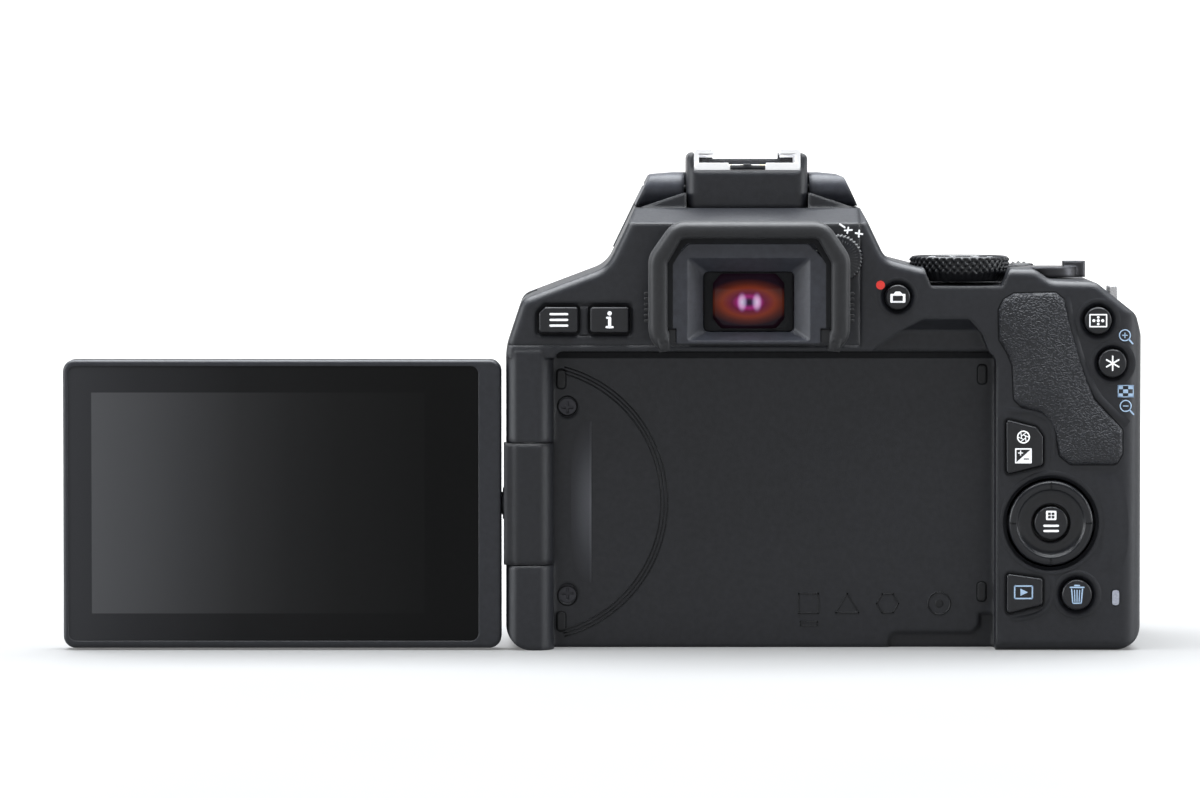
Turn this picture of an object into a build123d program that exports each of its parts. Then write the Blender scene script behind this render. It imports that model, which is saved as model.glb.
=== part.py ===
from build123d import *
from math import cos, radians, sin, tan
import os

# A compact single-lens reflex camera body with a side-hinged tilting screen.
#
# Frame: +Z up, +X towards the grip, +Y towards the lens. The origin is the mouth of the tripod
# socket, straight under the optical axis, on the face that the camera stands on. Millimetres.

# ---- driving dimensions -------------------------------------------------------------------
LEFT_X, RIGHT_X = -46.6, 75.8  # the body's two sides
REAR_Y, FRONT_Y = -23.0, 17.0  # rear face, and front face beside the lens mount
SPLIT_Y = -13.5  # rear cover ends here
SPLIT_Z = 58.8  # top cover starts here
SHOULDER_X = 21.5  # right of this the rear cover reaches up to the mode dial
BASE_T = 1.8  # base plate thickness
WALL = 1.8  # cover wall thickness
INNER_Y = REAR_Y + WALL  # inner face of the rear wall

# screen and its hinge
HINGE_X, HINGE_Y = -42.25, -19.1  # vertical swing axis
TILT_Z = 28.2  # height of the screen's tilt axis
SCREEN_W, SCREEN_H, SCREEN_T = 84.4, 55.6, 6.6
SCREEN_GAP = 5.25  # swing axis to the screen's near edge
SCREEN_R = HINGE_X - SCREEN_GAP
SCREEN_L = SCREEN_R - SCREEN_W
SCREEN_Y0, SCREEN_Y1 = HINGE_Y - SCREEN_T / 2, HINGE_Y + SCREEN_T / 2
ARM_Z0, ARM_Z1 = 16.5, 39.9
COLUMN_R = 4.8
COLUMN_FLAT = 4.2  # the column and arm are flattened at this distance from their axis
ARM_SWEEP_R = 6.25  # pocket that the arm turns in
RECESS_L, RECESS_R, RECESS_TOP = -37.4, 47.7, 57.7
RECESS_Y = -15.3  # floor of the screen's recess

# lens mount
AXIS_Z = 37.0
FLANGE_Y = 38.0
THROAT_R = 27.0
MOUNT_R = 32.5
BARREL_R = 36.0
BARREL_Y = 35.5
SEAT_Y = 33.5
PLATE_Y = 30.0

# grip
GRIP_Y = 37.0
GRIP_TILT = 25.0  # slope of the shutter button's face, in degrees
GRIP_TOP = 70.8
GRIP_BREAK_Y = 20.0  # the slope starts here

# viewfinder
HOUSING_Y = -25.4
FRAME_Y = -29.5
EYECUP_Y = -31.0

# accessory shoe and flash
HUMP_TOP = 85.0
SHOE_REAR_Y, SHOE_FRONT_Y = -12.5, 10.0
SHOE_X = 11.7
RAIL_X, RAIL_IN_X, RAIL_LIP_X = 10.3, 9.35, 6.4
RAIL_Z, RAIL_TOP, RAIL_T = 92.3, 96.5, 1.0
HOOD_Y, HOOD_Z = -4.0, 88.4  # the flash's hinge line
HOOD_FRONT_Y = 37.0

# controls on top
DIAL_X, DIAL_Y, DIAL_R, DIAL_Z0, DIAL_Z1 = 41.3, -8.5, 9.9, 70.8, 75.7
LEVER_X, LEVER_Y, LEVER_R, LEVER_Z0, LEVER_Z1 = 58.8, -3.5, 6.0, 71.45, 73.5
WHEEL_X, WHEEL_Y0, WHEEL_Y1, WHEEL_Z, WHEEL_R = 54.5, 16.0, 21.0, 67.4, 6.5
SHUTTER_X, SHUTTER_Y, SHUTTER_R = 57.5, 29.5, 5.2
ISO_X, ISO_Y, ISO_R = 54.5, 10.0, 2.4

# controls on the back: X, Z and radius
LIVE_VIEW = (28.7, 68.1, 2.4)
AF_POINT = (67.2, 63.6, 2.6)
AE_LOCK = (70.0, 55.4, 2.7)
ERASE = (63.3, 10.8, 2.9)
CROSS_X, CROSS_Z, CROSS_R = 58.3, 24.6, 8.25
MOAT_R = 9.2
SET_R = 3.2
GIMBAL_Y = -19.6  # depth of the cross key's two rocking axes
DIOPTER_X, DIOPTER_Z, DIOPTER_R = 17.2, 75.5, 4.8
BUTTON_GAP = 0.15  # clearance round a button
BUTTON_FACE_Y = -23.9

# inside
SENSOR_Y = -6.0
MIRROR_Y, MIRROR_Z, MIRROR_L = 2.0, 50.5, 29.5
GATE_Z0, GATE_Z1 = 28.7, 45.2
CURTAIN_H = 17.4
BATTERY = (55.0, 69.0, -4.0, 29.0, 3.0, 52.0)
DOOR = (49.5, 73.0, -6.0, 31.0)
PORT = (-6.0, 12.0, 16.0, 48.0)  # left flap: Y and Z
DC = (-6.0, 6.2, 21.7, 34.4)  # right flap: Y and Z
RELEASE_X, RELEASE_Z, RELEASE_R = -39.5, 28.0, 3.6
LOCK_PIN_X = -29.8
RING_SCREW_R = 30.0

os.makedirs("parts", exist_ok=True)


# ---- helpers: plain shapes used to cut and to build ------------------------------------------
def save(part, name):
    """Writes one finished piece as its own STEP file."""
    part.label = name
    export_step(part, f"parts/{name}.step")


def block(x0, x1, y0, y1, z0, z1):
    """A plain box between two corners."""
    centre = ((x0 + x1) / 2, (y0 + y1) / 2, (z0 + z1) / 2)
    return Pos(*centre) * Box(x1 - x0, y1 - y0, z1 - z0, mode=Mode.PRIVATE)


def rod(radius, start, end):
    """A plain cylinder between two points."""
    along = Vector(*end) - Vector(*start)
    plane = Plane(origin=start, z_dir=along)
    align = (Align.CENTER, Align.CENTER, Align.MIN)
    return plane * Cylinder(radius, along.length, align=align, mode=Mode.PRIVATE)


def shape(corners, radius=0.0):
    """A flat face through the corners; a corner is (x, y), or ((x, y), its own radius)."""
    pairs = [c if isinstance(c[0], tuple) else (c, radius) for c in corners]
    with BuildSketch() as sketch:
        with BuildLine():
            Polyline(*[p for p, _ in pairs], close=True)
        make_face()
        for point, corner_radius in pairs:
            if corner_radius > 0:
                near = sketch.vertices().sort_by_distance((*point, 0))[0]
                fillet(near, corner_radius)
    return sketch.sketch


def rear_plane(y):
    """A sketch plane at depth y: its x is +X, its y is +Z, and it faces out of the back."""
    return Plane(origin=(0, y, 0), x_dir=(1, 0, 0), z_dir=(0, -1, 0))


def slab(face, y0, y1):
    """A face drawn as seen from the back (X, Z), filled from depth y0 to y1."""
    return extrude(rear_plane(y0) * face, amount=y1 - y0, dir=(0, 1, 0))


def plan(face, z0, z1):
    """A face drawn as seen from above (X, Y), filled from height z0 to z1."""
    return extrude(Pos(0, 0, z0) * face, amount=z1 - z0, dir=(0, 0, 1))


def side(face, x0, x1):
    """A face drawn as seen from the grip side (Y, Z), filled from x0 to x1."""
    plane = Plane(origin=(x0, 0, 0), x_dir=(0, 1, 0), z_dir=(1, 0, 0))
    return extrude(plane * face, amount=x1 - x0, dir=(1, 0, 0))


# ---- outer form ------------------------------------------------------------------------------
OUTLINE = [
    ((LEFT_X, 0), 5.0),
    ((LEFT_X, 58.5), 12.0),
    ((-43.6, 67.6), 3.0),
    ((-27.2, 73.8), 6.0),
    ((-18.9, 91.0), 1.0),
    ((-12.0, 91.9), 0),
    ((12.0, 91.9), 0),
    ((18.9, 91.0), 1.0),
    ((26.4, 75.4), 4.0),
    ((33.0, 73.7), 3.0),
    ((55.0, 73.5), 3.0),
    ((58.2, 71.3), 3.0),
    ((66.8, 71.0), 3.0),
    ((74.6, 64.8), 3.0),
    ((RIGHT_X, 60.5), 3.0),
    ((RIGHT_X, 0), 5.0),
]
BODY_PLAN = [
    (LEFT_X, REAR_Y),
    ((LEFT_X, FRONT_Y), 7.0),
    (RIGHT_X, FRONT_Y),
    ((RIGHT_X, REAR_Y), 4.5),
]
GRIP_DROP = (GRIP_Y + 1 - GRIP_BREAK_Y) * tan(radians(GRIP_TILT))
GRIP_PLAN = [
    (39.0, 8.0),
    (40.5, 17.0),
    ((44.5, GRIP_Y), 8.0),
    ((RIGHT_X, GRIP_Y), 12.0),
    (RIGHT_X, 8.0),
]
GRIP_SIDE = [
    (8.0, 0.0),
    (8.0, GRIP_TOP),
    ((GRIP_BREAK_Y, GRIP_TOP), 9.0),
    (GRIP_Y + 1, GRIP_TOP - GRIP_DROP),
    (GRIP_Y + 1, 0.0),
]
HUMP_FRONT = [
    (-25.5, 55.0),
    ((-25.5, 76.0), 4.0),
    (-18.0, 92.0),
    (18.0, 92.0),
    ((25.5, 76.0), 4.0),
    (25.5, 55.0),
]
NOTCH = [(23.8, 56.0), (23.8, 57.8), (29.8, 61.9), (33.7, 63.8), (42.5, 63.8), (45.0, 61.0), (46.9, 56.0)]
ABOVE_HUMP = [(-40, 82.2), (REAR_Y, 82.2), (-13.5, HUMP_TOP), (40, HUMP_TOP), (40, 110), (-40, 110)]

body_face = shape(OUTLINE)
inner_face = offset(body_face, amount=-WALL)
above_hump = side(shape(ABOVE_HUMP), -60, 60)


def make_envelope():
    """The whole outer form: rounded body, grip and prism housing, without the mount's barrel."""
    plan_form = plan(shape(BODY_PLAN), -1, 100)
    outline_form = slab(body_face, 0, 50)
    grip_form = plan(shape(GRIP_PLAN), -1, 100)
    grip_side = side(shape(GRIP_SIDE), 30, 90)
    hump = slab(shape(HUMP_FRONT), 10, 33)
    with BuildPart() as trunk:
        add(slab(body_face, REAR_Y, FRONT_Y))
        fillet(trunk.faces().sort_by(Axis.Y)[0].edges(), 1.8)
        fillet(trunk.faces().sort_by(Axis.Y)[-1].edges(), 1.9)
    trunk_form = trunk.part & plan_form
    grip = outline_form & grip_form & grip_side
    with BuildPart() as body:
        add(trunk_form)
        add(grip)
        add(hump)
        add(above_hump, mode=Mode.SUBTRACT)
    return body.part


def make_cavity():
    """The room inside the covers, with solid blocks left where the side flaps and strap lugs sit."""
    whole = slab(inner_face, INNER_Y, FRONT_Y - WALL) & plan(offset(shape(BODY_PLAN), amount=-WALL), 0, 100)
    grip_room = plan(offset(shape(GRIP_PLAN), amount=-WALL), BASE_T, 61.0) & slab(inner_face, 0, 50)
    hump_room = slab(offset(shape(HUMP_FRONT), amount=-WALL), 12, 33 - WALL)
    recess_wall = block(-60, RECESS_R + 1.1, -40, SPLIT_Y, -5, RECESS_TOP + 2.0)
    column_wall = block(-60, RECESS_L + 1.0, -40, SPLIT_Y, -5, RECESS_TOP + 1.5)
    low_roof = Pos(0, 0, -WALL) * above_hump
    notch_wall = slab(offset(shape(NOTCH, 0.8), amount=1.4), -40, -16.4)
    with BuildPart() as room:
        add(whole)
        add(grip_room)
        add(hump_room)
        add(recess_wall, mode=Mode.SUBTRACT)
        add(column_wall, mode=Mode.SUBTRACT)
        add(low_roof, mode=Mode.SUBTRACT)
        add(notch_wall, mode=Mode.SUBTRACT)
        add(block(-60, 80, -40, 60, -5, BASE_T), mode=Mode.SUBTRACT)
        add(block(-50, -43.2, -9, 15, 13, 51), mode=Mode.SUBTRACT)
        add(block(72.4, 80, -9, 9, 19, 37), mode=Mode.SUBTRACT)
        add(block(68.0, 80, -3, 13, 61.0, 75), mode=Mode.SUBTRACT)
        add(block(-50, -39.5, -3, 13, 60.0, 75), mode=Mode.SUBTRACT)
        add(block(30, 80, -19.4, 40, 68.4, 80), mode=Mode.SUBTRACT)
    return room.part


envelope = make_envelope()
cavity = make_cavity()
barrel = rod(BARREL_R, (0, FRONT_Y - WALL, AXIS_Z), (0, BARREL_Y, AXIS_Z))


# ---- covers ----------------------------------------------------------------------------------
def rear_well(x, z, inner, outer):
    """A shallow dish round a button, sloping in from the rear face."""
    cone = Cone(inner, outer, 0.7, align=(Align.CENTER, Align.CENTER, Align.MIN), mode=Mode.PRIVATE)
    add(Plane(origin=(x, REAR_Y + 0.7, z), x_dir=(1, 0, 0), z_dir=(0, -1, 0)) * cone, mode=Mode.SUBTRACT)


def rear_hole(x, z, radius, y0, y1):
    """A round hole through the back, from depth y0 to y1."""
    add(rod(radius, (x, y0, z), (x, y1, z)), mode=Mode.SUBTRACT)


MENU_FACE = [(-40.2, 61.3), (-40.2, 65.0), (-39.0, 66.2), (-32.7, 66.2), (-32.7, 61.3)]
INFO_FACE = [(-30.4, 61.3), (-30.4, 66.2), (-22.9, 66.2), (-22.9, 61.3)]
EXPOSURE_FACE = [(49.7, 34.0), (49.6, 44.6), (55.4, 43.1), (56.7, 41.2), (56.7, 35.8)]
PLAYBACK_FACE = [(49.8, 7.1), (49.8, 14.9), (56.7, 13.9), (56.7, 8.9)]
LEFT_POCKET = [(-41.0, 60.6), (-41.0, 65.2), (-39.4, 67.0), (-22.2, 67.0), (-22.2, 60.6)]
STEP = [
    (27.4, -1.0),
    (27.4, 1.6),
    (28.6, 2.8),
    (43.6, 2.8),
    (45.0, 4.2),
    (45.0, 6.5),
    (47.6, 6.5),
    (47.6, -1.0),
]
NOTCH_SIDE = [(-40.0, 55.0), (-40.0, 66.0), (-22.6, 66.0), (-22.2, 64.0), (-18.0, 61.5), (-18.0, 55.0)]
DIAL_NOTCH = [(32.8, 76.0), (35.2, 70.1), (48.9, 70.1), (51.4, 76.0)]
THUMB_FACE = [
    (51.0, 68.8),
    (59.1, 69.0),
    (60.7, 67.6),
    (62.3, 61.5),
    (64.0, 55.6),
    (65.5, 51.2),
    (66.6, 48.4),
    (69.2, 45.6),
    (72.0, 42.6),
    (72.0, 37.9),
    (70.8, 35.9),
    (62.0, 35.9),
    (59.9, 37.6),
    (59.2, 41.6),
    (58.2, 44.2),
    (56.2, 46.1),
    (52.6, 47.0),
    (51.1, 48.4),
    (50.8, 54.9),
    (49.8, 57.4),
    (48.2, 60.0),
    (48.1, 65.7),
    (49.0, 67.6),
]


BASE_SCREWS = [(-38.0, -8.0), (-38.0, 8.0), (38.0, -8.0), (38.0, 12.0)]


def key_hole(corners):
    """The hole that a shaped button passes through, with its clearance."""
    return slab(offset(shape(corners, 0.6), amount=BUTTON_GAP), REAR_Y - 1, INNER_Y + 1)


def make_rear_cover():
    """The back shell: screen recess, hinge column, wall of buttons, dial notch."""
    lower = block(-60, 90, -40, SPLIT_Y, -5, SPLIT_Z)
    upper = block(SHOULDER_X, 90, -40, SPLIT_Y, SPLIT_Z - 1, 90)
    corners = [
        (RECESS_L, -5),
        ((RECESS_L, RECESS_TOP), 2.0),
        ((RECESS_R, RECESS_TOP), 2.5),
        (RECESS_R + 0.1, -5),
    ]
    recess = slab(shape(corners), -40, RECESS_Y)
    beside_column = block(-60, RECESS_L + 0.01, -40, HINGE_Y, -5, RECESS_TOP - 1.3)
    column = rod(COLUMN_R, (HINGE_X, HINGE_Y, 0), (HINGE_X, HINGE_Y, RECESS_TOP))
    column = column & slab(body_face, HINGE_Y - COLUMN_FLAT, 0)
    sweep = rod(ARM_SWEEP_R, (HINGE_X, HINGE_Y, ARM_Z0 - 0.2), (HINGE_X, HINGE_Y, ARM_Z1 + 0.2))
    sweep = sweep & block(-60, 0, -40, HINGE_Y + 3.8, 0, 60)
    bore = rod(COLUMN_R + 0.2, (HINGE_X, HINGE_Y, ARM_Z0 - 0.2), (HINGE_X, HINGE_Y, ARM_Z1 + 0.2))
    pin_hole = rod(1.5, (HINGE_X, HINGE_Y, 8), (HINGE_X, HINGE_Y, 48))
    thumb_notch = slab(shape(NOTCH, 0.8), -40, -16) & side(shape(NOTCH_SIDE), 20, 50)
    step = slab(shape(STEP), -16, RECESS_Y + 0.7)
    dial_notch = slab(shape(DIAL_NOTCH), -40, SPLIT_Y + 1)
    rocker_hole = rod(0.65, (CROSS_X - 9.5, GIMBAL_Y, CROSS_Z), (CROSS_X + 9.5, GIMBAL_Y, CROSS_Z))
    dial_well = rod(DIAL_R + 0.5, (DIAL_X, DIAL_Y, DIAL_Z0 - 0.5), (DIAL_X, DIAL_Y, 90))
    with BuildPart() as rear_cover:
        add(envelope & (lower + upper))
        add(cavity, mode=Mode.SUBTRACT)
        add(recess, mode=Mode.SUBTRACT)
        add(beside_column, mode=Mode.SUBTRACT)
        add(column)
        add(sweep, mode=Mode.SUBTRACT)
        add(bore, mode=Mode.SUBTRACT)
        add(pin_hole, mode=Mode.SUBTRACT)
        add(thumb_notch, mode=Mode.SUBTRACT)
        add(step, mode=Mode.SUBTRACT)
        add(dial_notch, mode=Mode.SUBTRACT)
        add(dial_well, mode=Mode.SUBTRACT)
        for x, z, radius in (LIVE_VIEW, AF_POINT, AE_LOCK, ERASE):
            rear_hole(x, z, radius + BUTTON_GAP, REAR_Y - 1, INNER_Y + 1)
            rear_well(x, z, radius + 0.3, radius + 1.0)
        rear_hole(AE_LOCK[0], AE_LOCK[1], AE_LOCK[2] + 1.0, INNER_Y, INNER_Y + 3)
        rear_hole(CROSS_X, CROSS_Z, CROSS_R + 0.35, REAR_Y - 1, INNER_Y + 1)
        rear_hole(CROSS_X, CROSS_Z, MOAT_R, REAR_Y - 1, REAR_Y + 0.8)
        add(key_hole(EXPOSURE_FACE), mode=Mode.SUBTRACT)
        add(key_hole(PLAYBACK_FACE), mode=Mode.SUBTRACT)
        add(block(70.15, 71.45, REAR_Y - 1, INNER_Y + 1, 8.85, 11.55), mode=Mode.SUBTRACT)
        add(block(69.4, 72.2, INNER_Y, INNER_Y + 1.5, 8.1, 12.3), mode=Mode.SUBTRACT)
        for z in (10.4, 46.5):
            rear_hole(-34.8, z, 0.9, RECESS_Y - 1, SPLIT_Y + 1)
            rear_hole(-34.8, z, 1.85, RECESS_Y - 1, RECESS_Y + 1.0)
        for x in (-8.0, 8.0):
            add(block(CROSS_X + x - 0.6, CROSS_X + x + 0.6, INNER_Y - 0.2, GIMBAL_Y + 0.9, 22.9, 26.3))
        add(rocker_hole, mode=Mode.SUBTRACT)
    save(rear_cover.part, "rear_cover")
    return rear_cover.part


def make_front_cover():
    """The front shell with the grip's core and the lens mount's barrel."""
    region = block(-60, 90, SPLIT_Y, 60, BASE_T, SPLIT_Z)
    port_pocket = block(-60, LEFT_X + 1.4, PORT[0] - 0.2, PORT[1] + 0.9, PORT[2] - 0.2, PORT[3] + 0.2)
    port_hole = block(-60, -42, -4.2, 9.2, 17.8, 46.2)
    dc_pocket = block(RIGHT_X - 1.4, 90, DC[0] - 0.2, DC[1] + 0.2, DC[2] - 0.2, DC[3] + 0.2)
    dc_hole = block(70, 90, DC[0] + 1.2, DC[1] - 1.8, DC[2] + 1.2, DC[3] - 1.2)
    hollow = rod(BARREL_R - 2.0, (0, 14, AXIS_Z), (0, PLATE_Y, AXIS_Z))
    foot = block(-50, 50, 14, FRONT_Y, -5, BASE_T)
    release_room = rod(RELEASE_R + 1.0, (RELEASE_X, 10, RELEASE_Z), (RELEASE_X, 15.0, RELEASE_Z))
    port_pins = rod(0.55, (LEFT_X + 0.7, PORT[1], PORT[2] - 1.2), (LEFT_X + 0.7, PORT[1], PORT[3] + 1.2))
    dc_pins = rod(0.55, (RIGHT_X - 0.7, DC[1] - 0.7, DC[2] - 1.2), (RIGHT_X - 0.7, DC[1] - 0.7, DC[3] + 1.2))
    with BuildPart() as front_cover:
        add(envelope & region)
        add(cavity, mode=Mode.SUBTRACT)
        add(barrel)
        add(foot, mode=Mode.SUBTRACT)
        add(hollow, mode=Mode.SUBTRACT)
        add(rod(THROAT_R, (0, PLATE_Y - 1, AXIS_Z), (0, BARREL_Y + 1, AXIS_Z)), mode=Mode.SUBTRACT)
        add(rod(MOUNT_R + 0.1, (0, SEAT_Y, AXIS_Z), (0, BARREL_Y + 1, AXIS_Z)), mode=Mode.SUBTRACT)
        add(port_pocket, mode=Mode.SUBTRACT)
        add(port_hole, mode=Mode.SUBTRACT)
        add(port_pins, mode=Mode.SUBTRACT)
        add(dc_pocket, mode=Mode.SUBTRACT)
        add(dc_hole, mode=Mode.SUBTRACT)
        add(dc_pins, mode=Mode.SUBTRACT)
        add(rod(RELEASE_R + 0.2, (RELEASE_X, 10, RELEASE_Z), (RELEASE_X, 25, RELEASE_Z)), mode=Mode.SUBTRACT)
        add(release_room, mode=Mode.SUBTRACT)
        add(rod(1.3, (LOCK_PIN_X, 28, AXIS_Z), (LOCK_PIN_X, 40, AXIS_Z)), mode=Mode.SUBTRACT)
        with Locations(Plane(origin=(0, SEAT_Y, AXIS_Z), x_dir=(1, 0, 0), z_dir=(0, 1, 0))):
            with PolarLocations(RING_SCREW_R, 4, start_angle=45):
                Hole(0.95, depth=2.6)
    save(front_cover.part, "front_cover")
    return front_cover.part


def make_top_cover():
    """The top shell: prism housing, eyepiece housing, wells for the dials, wheel slot and lug pockets."""
    region = block(-60, 90, -40, 60, SPLIT_Z, 110)
    rear_share = block(SHOULDER_X, 90, -40, SPLIT_Y, 0, 110)
    around_barrel = rod(BARREL_R + 0.2, (0, 10, AXIS_Z), (0, 60, AXIS_Z))
    housing_face = shape([(-11.5, 59.4), ((-11.5, 77.5), 3), ((11.5, 77.5), 3), (11.5, 59.4)])
    housing = slab(housing_face, HOUSING_Y, -22)
    eyepiece_hole = block(-10.0, 10.0, -40, INNER_Y + 1, 60.3, 74.5)
    fairing = [(-21.0, 84.0), (-21.2, 84.9), (-12.3, 87.9), (-11.8, 87.9), (-11.8, 84.0)]
    fairing_left = slab(shape(fairing), -12.9, -8.0)
    fairing_right = mirror(fairing_left, about=Plane.YZ)
    dial_well = rod(DIAL_R + 0.5, (DIAL_X, DIAL_Y, DIAL_Z0 - 0.5), (DIAL_X, DIAL_Y, 90))
    dial_stem = rod(3.1, (DIAL_X, DIAL_Y, 60), (DIAL_X, DIAL_Y, 90))
    lever_well = rod(LEVER_R + 1.4, (LEVER_X, LEVER_Y, LEVER_Z0 - 0.15), (LEVER_X, LEVER_Y, 90))
    lever_stem = rod(2.1, (LEVER_X, LEVER_Y, 60), (LEVER_X, LEVER_Y, 90))
    wheel_slot = block(WHEEL_X - 6.9, WHEEL_X + 6.9, WHEEL_Y0 - 0.3, WHEEL_Y1 + 0.3, WHEEL_Z, 80)
    wheel_round = rod(WHEEL_R + 0.4, (WHEEL_X, WHEEL_Y0 - 0.3, WHEEL_Z), (WHEEL_X, WHEEL_Y1 + 0.3, WHEEL_Z))
    wheel_box = block(WHEEL_X - 8.2, WHEEL_X + 8.2, WHEEL_Y0 - 1.8, WHEEL_Y1 + 1.8, 61.0, 69.5)
    spindle = rod(1.05, (WHEEL_X, WHEEL_Y0 - 1.5, WHEEL_Z), (WHEEL_X, WHEEL_Y1 + 1.5, WHEEL_Z))
    diopter_stem = rod(1.55, (DIOPTER_X, -30, DIOPTER_Z), (DIOPTER_X, -19, DIOPTER_Z))
    with BuildPart() as top_cover:
        add(envelope & (region - rear_share))
        add(cavity, mode=Mode.SUBTRACT)
        add(housing)
        add(fairing_left)
        add(fairing_right)
        add(wheel_box)
        add(around_barrel, mode=Mode.SUBTRACT)
        add(eyepiece_hole, mode=Mode.SUBTRACT)
        add(dial_well, mode=Mode.SUBTRACT)
        add(dial_stem, mode=Mode.SUBTRACT)
        add(lever_well, mode=Mode.SUBTRACT)
        add(lever_stem, mode=Mode.SUBTRACT)
        add(wheel_slot, mode=Mode.SUBTRACT)
        add(wheel_round, mode=Mode.SUBTRACT)
        add(spindle, mode=Mode.SUBTRACT)
        add(diopter_stem, mode=Mode.SUBTRACT)
        add(slab(shape(LEFT_POCKET, 0.8), REAR_Y - 1, REAR_Y + 0.5), mode=Mode.SUBTRACT)
        add(block(-32.3, -30.8, REAR_Y + 0.15, REAR_Y + 0.6, 60.9, 66.3))
        add(key_hole(MENU_FACE), mode=Mode.SUBTRACT)
        add(key_hole(INFO_FACE), mode=Mode.SUBTRACT)
        add(rod(ISO_R + BUTTON_GAP, (ISO_X, ISO_Y, 60), (ISO_X, ISO_Y, 90)), mode=Mode.SUBTRACT)
        add(shutter_plane(-6.0) * shutter_rod(SHUTTER_R + BUTTON_GAP, 12.0), mode=Mode.SUBTRACT)
        add(shutter_plane(-6.0) * shutter_rod(SHUTTER_R + 1.1, 4.1), mode=Mode.SUBTRACT)
        for x0, x1, lug_x, floor in ((69.6, 90, 71.2, 64.5), (-60, -40.8, -43.0, 62.6)):
            add(block(x0, x1, -1, 11, floor, 90), mode=Mode.SUBTRACT)
            add(block(lug_x, lug_x + 1.5, 0.5, 9.5, floor - 2.5, floor + 1), mode=Mode.SUBTRACT)
        add(rod(1.0, (-15, HOOD_Y, HOOD_Z), (15, HOOD_Y, HOOD_Z)), mode=Mode.SUBTRACT)
    save(top_cover.part, "top_cover")
    return top_cover.part


def shutter_plane(height):
    """A plane parallel to the grip's sloping top, through the shutter button's axis, raised along it."""
    tilt = radians(GRIP_TILT)
    surface = GRIP_TOP - (SHUTTER_Y - GRIP_BREAK_Y) * tan(tilt)
    origin = (SHUTTER_X, SHUTTER_Y + height * sin(tilt), surface + height * cos(tilt))
    return Plane(origin=origin, x_dir=(1, 0, 0), z_dir=(0, sin(tilt), cos(tilt)))


def shutter_rod(radius, length):
    """A cylinder standing on its own base, to be placed on a plane."""
    return Cylinder(radius, length, align=(Align.CENTER, Align.CENTER, Align.MIN), mode=Mode.PRIVATE)


def make_base_plate():
    """The bottom plate, with the battery door's opening and the tripod socket's hole."""
    region = block(-60, 90, SPLIT_Y, 60, -5, BASE_T)
    door_hole = block(DOOR[0] - 0.2, DOOR[1] + 0.2, DOOR[2] - 0.2, DOOR[3] + 0.2, -5, 5)
    hinge_hole = rod(0.55, (DOOR[0] + 0.9, DOOR[2] - 1.3, 0.9), (DOOR[0] + 0.9, DOOR[3] + 1.3, 0.9))
    with BuildPart() as base_plate:
        add(envelope & region)
        add(door_hole, mode=Mode.SUBTRACT)
        add(hinge_hole, mode=Mode.SUBTRACT)
        with Locations((0, 0, BASE_T)):
            Hole(5.0)
        with Locations(*[(x, y, 0) for x, y in BASE_SCREWS]):
            Hole(0.9)
            Hole(1.65, depth=1.0)
    save(base_plate.part, "base_plate")
    return base_plate.part


# ---- screen, its arm and its pin -------------------------------------------------------------
def make_screen_hinge_pin():
    """The steel pin that the screen's arm swings on."""
    with BuildPart() as screen_hinge_pin:
        with BuildSketch(Plane.XY.offset(8.2)):
            with Locations((HINGE_X, HINGE_Y)):
                Circle(1.45)
        extrude(amount=39.6)
    save(screen_hinge_pin.part, "screen_hinge_pin")


def make_screen_arm():
    """The swinging arm: round on its hinge side, with the collar and shaft that the screen tilts on."""
    with BuildPart() as screen_arm:
        with BuildSketch(Plane.XY.offset(ARM_Z0)) as section:
            with Locations((HINGE_X, HINGE_Y)):
                Circle(COLUMN_R)
                Rectangle(2 * COLUMN_R, 2 * COLUMN_FLAT, mode=Mode.INTERSECT)
            with Locations((HINGE_X - COLUMN_R / 2, HINGE_Y)):
                Rectangle(COLUMN_R, 7.2)
            fillet(section.vertices().group_by(Axis.X)[0], 0.7)
        extrude(amount=ARM_Z1 - ARM_Z0)
        add(rod(3.05, (HINGE_X - COLUMN_R, HINGE_Y, TILT_Z), (SCREEN_R + 0.25, HINGE_Y, TILT_Z)))
        add(rod(2.2, (SCREEN_R + 0.3, HINGE_Y, TILT_Z), (SCREEN_R - 10.5, HINGE_Y, TILT_Z)))
        with Locations((HINGE_X, HINGE_Y, ARM_Z1)):
            Hole(1.55)
    save(screen_arm.part, "screen_arm")


def screen_outline(inset, radius):
    """The screen's rounded rectangle seen from the back, drawn in from its edge."""
    with BuildSketch() as sketch:
        with Locations(((SCREEN_L + SCREEN_R) / 2, TILT_Z)):
            RectangleRounded(SCREEN_W - 2 * inset, SCREEN_H - 2 * inset, radius)
    return sketch.sketch


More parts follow.
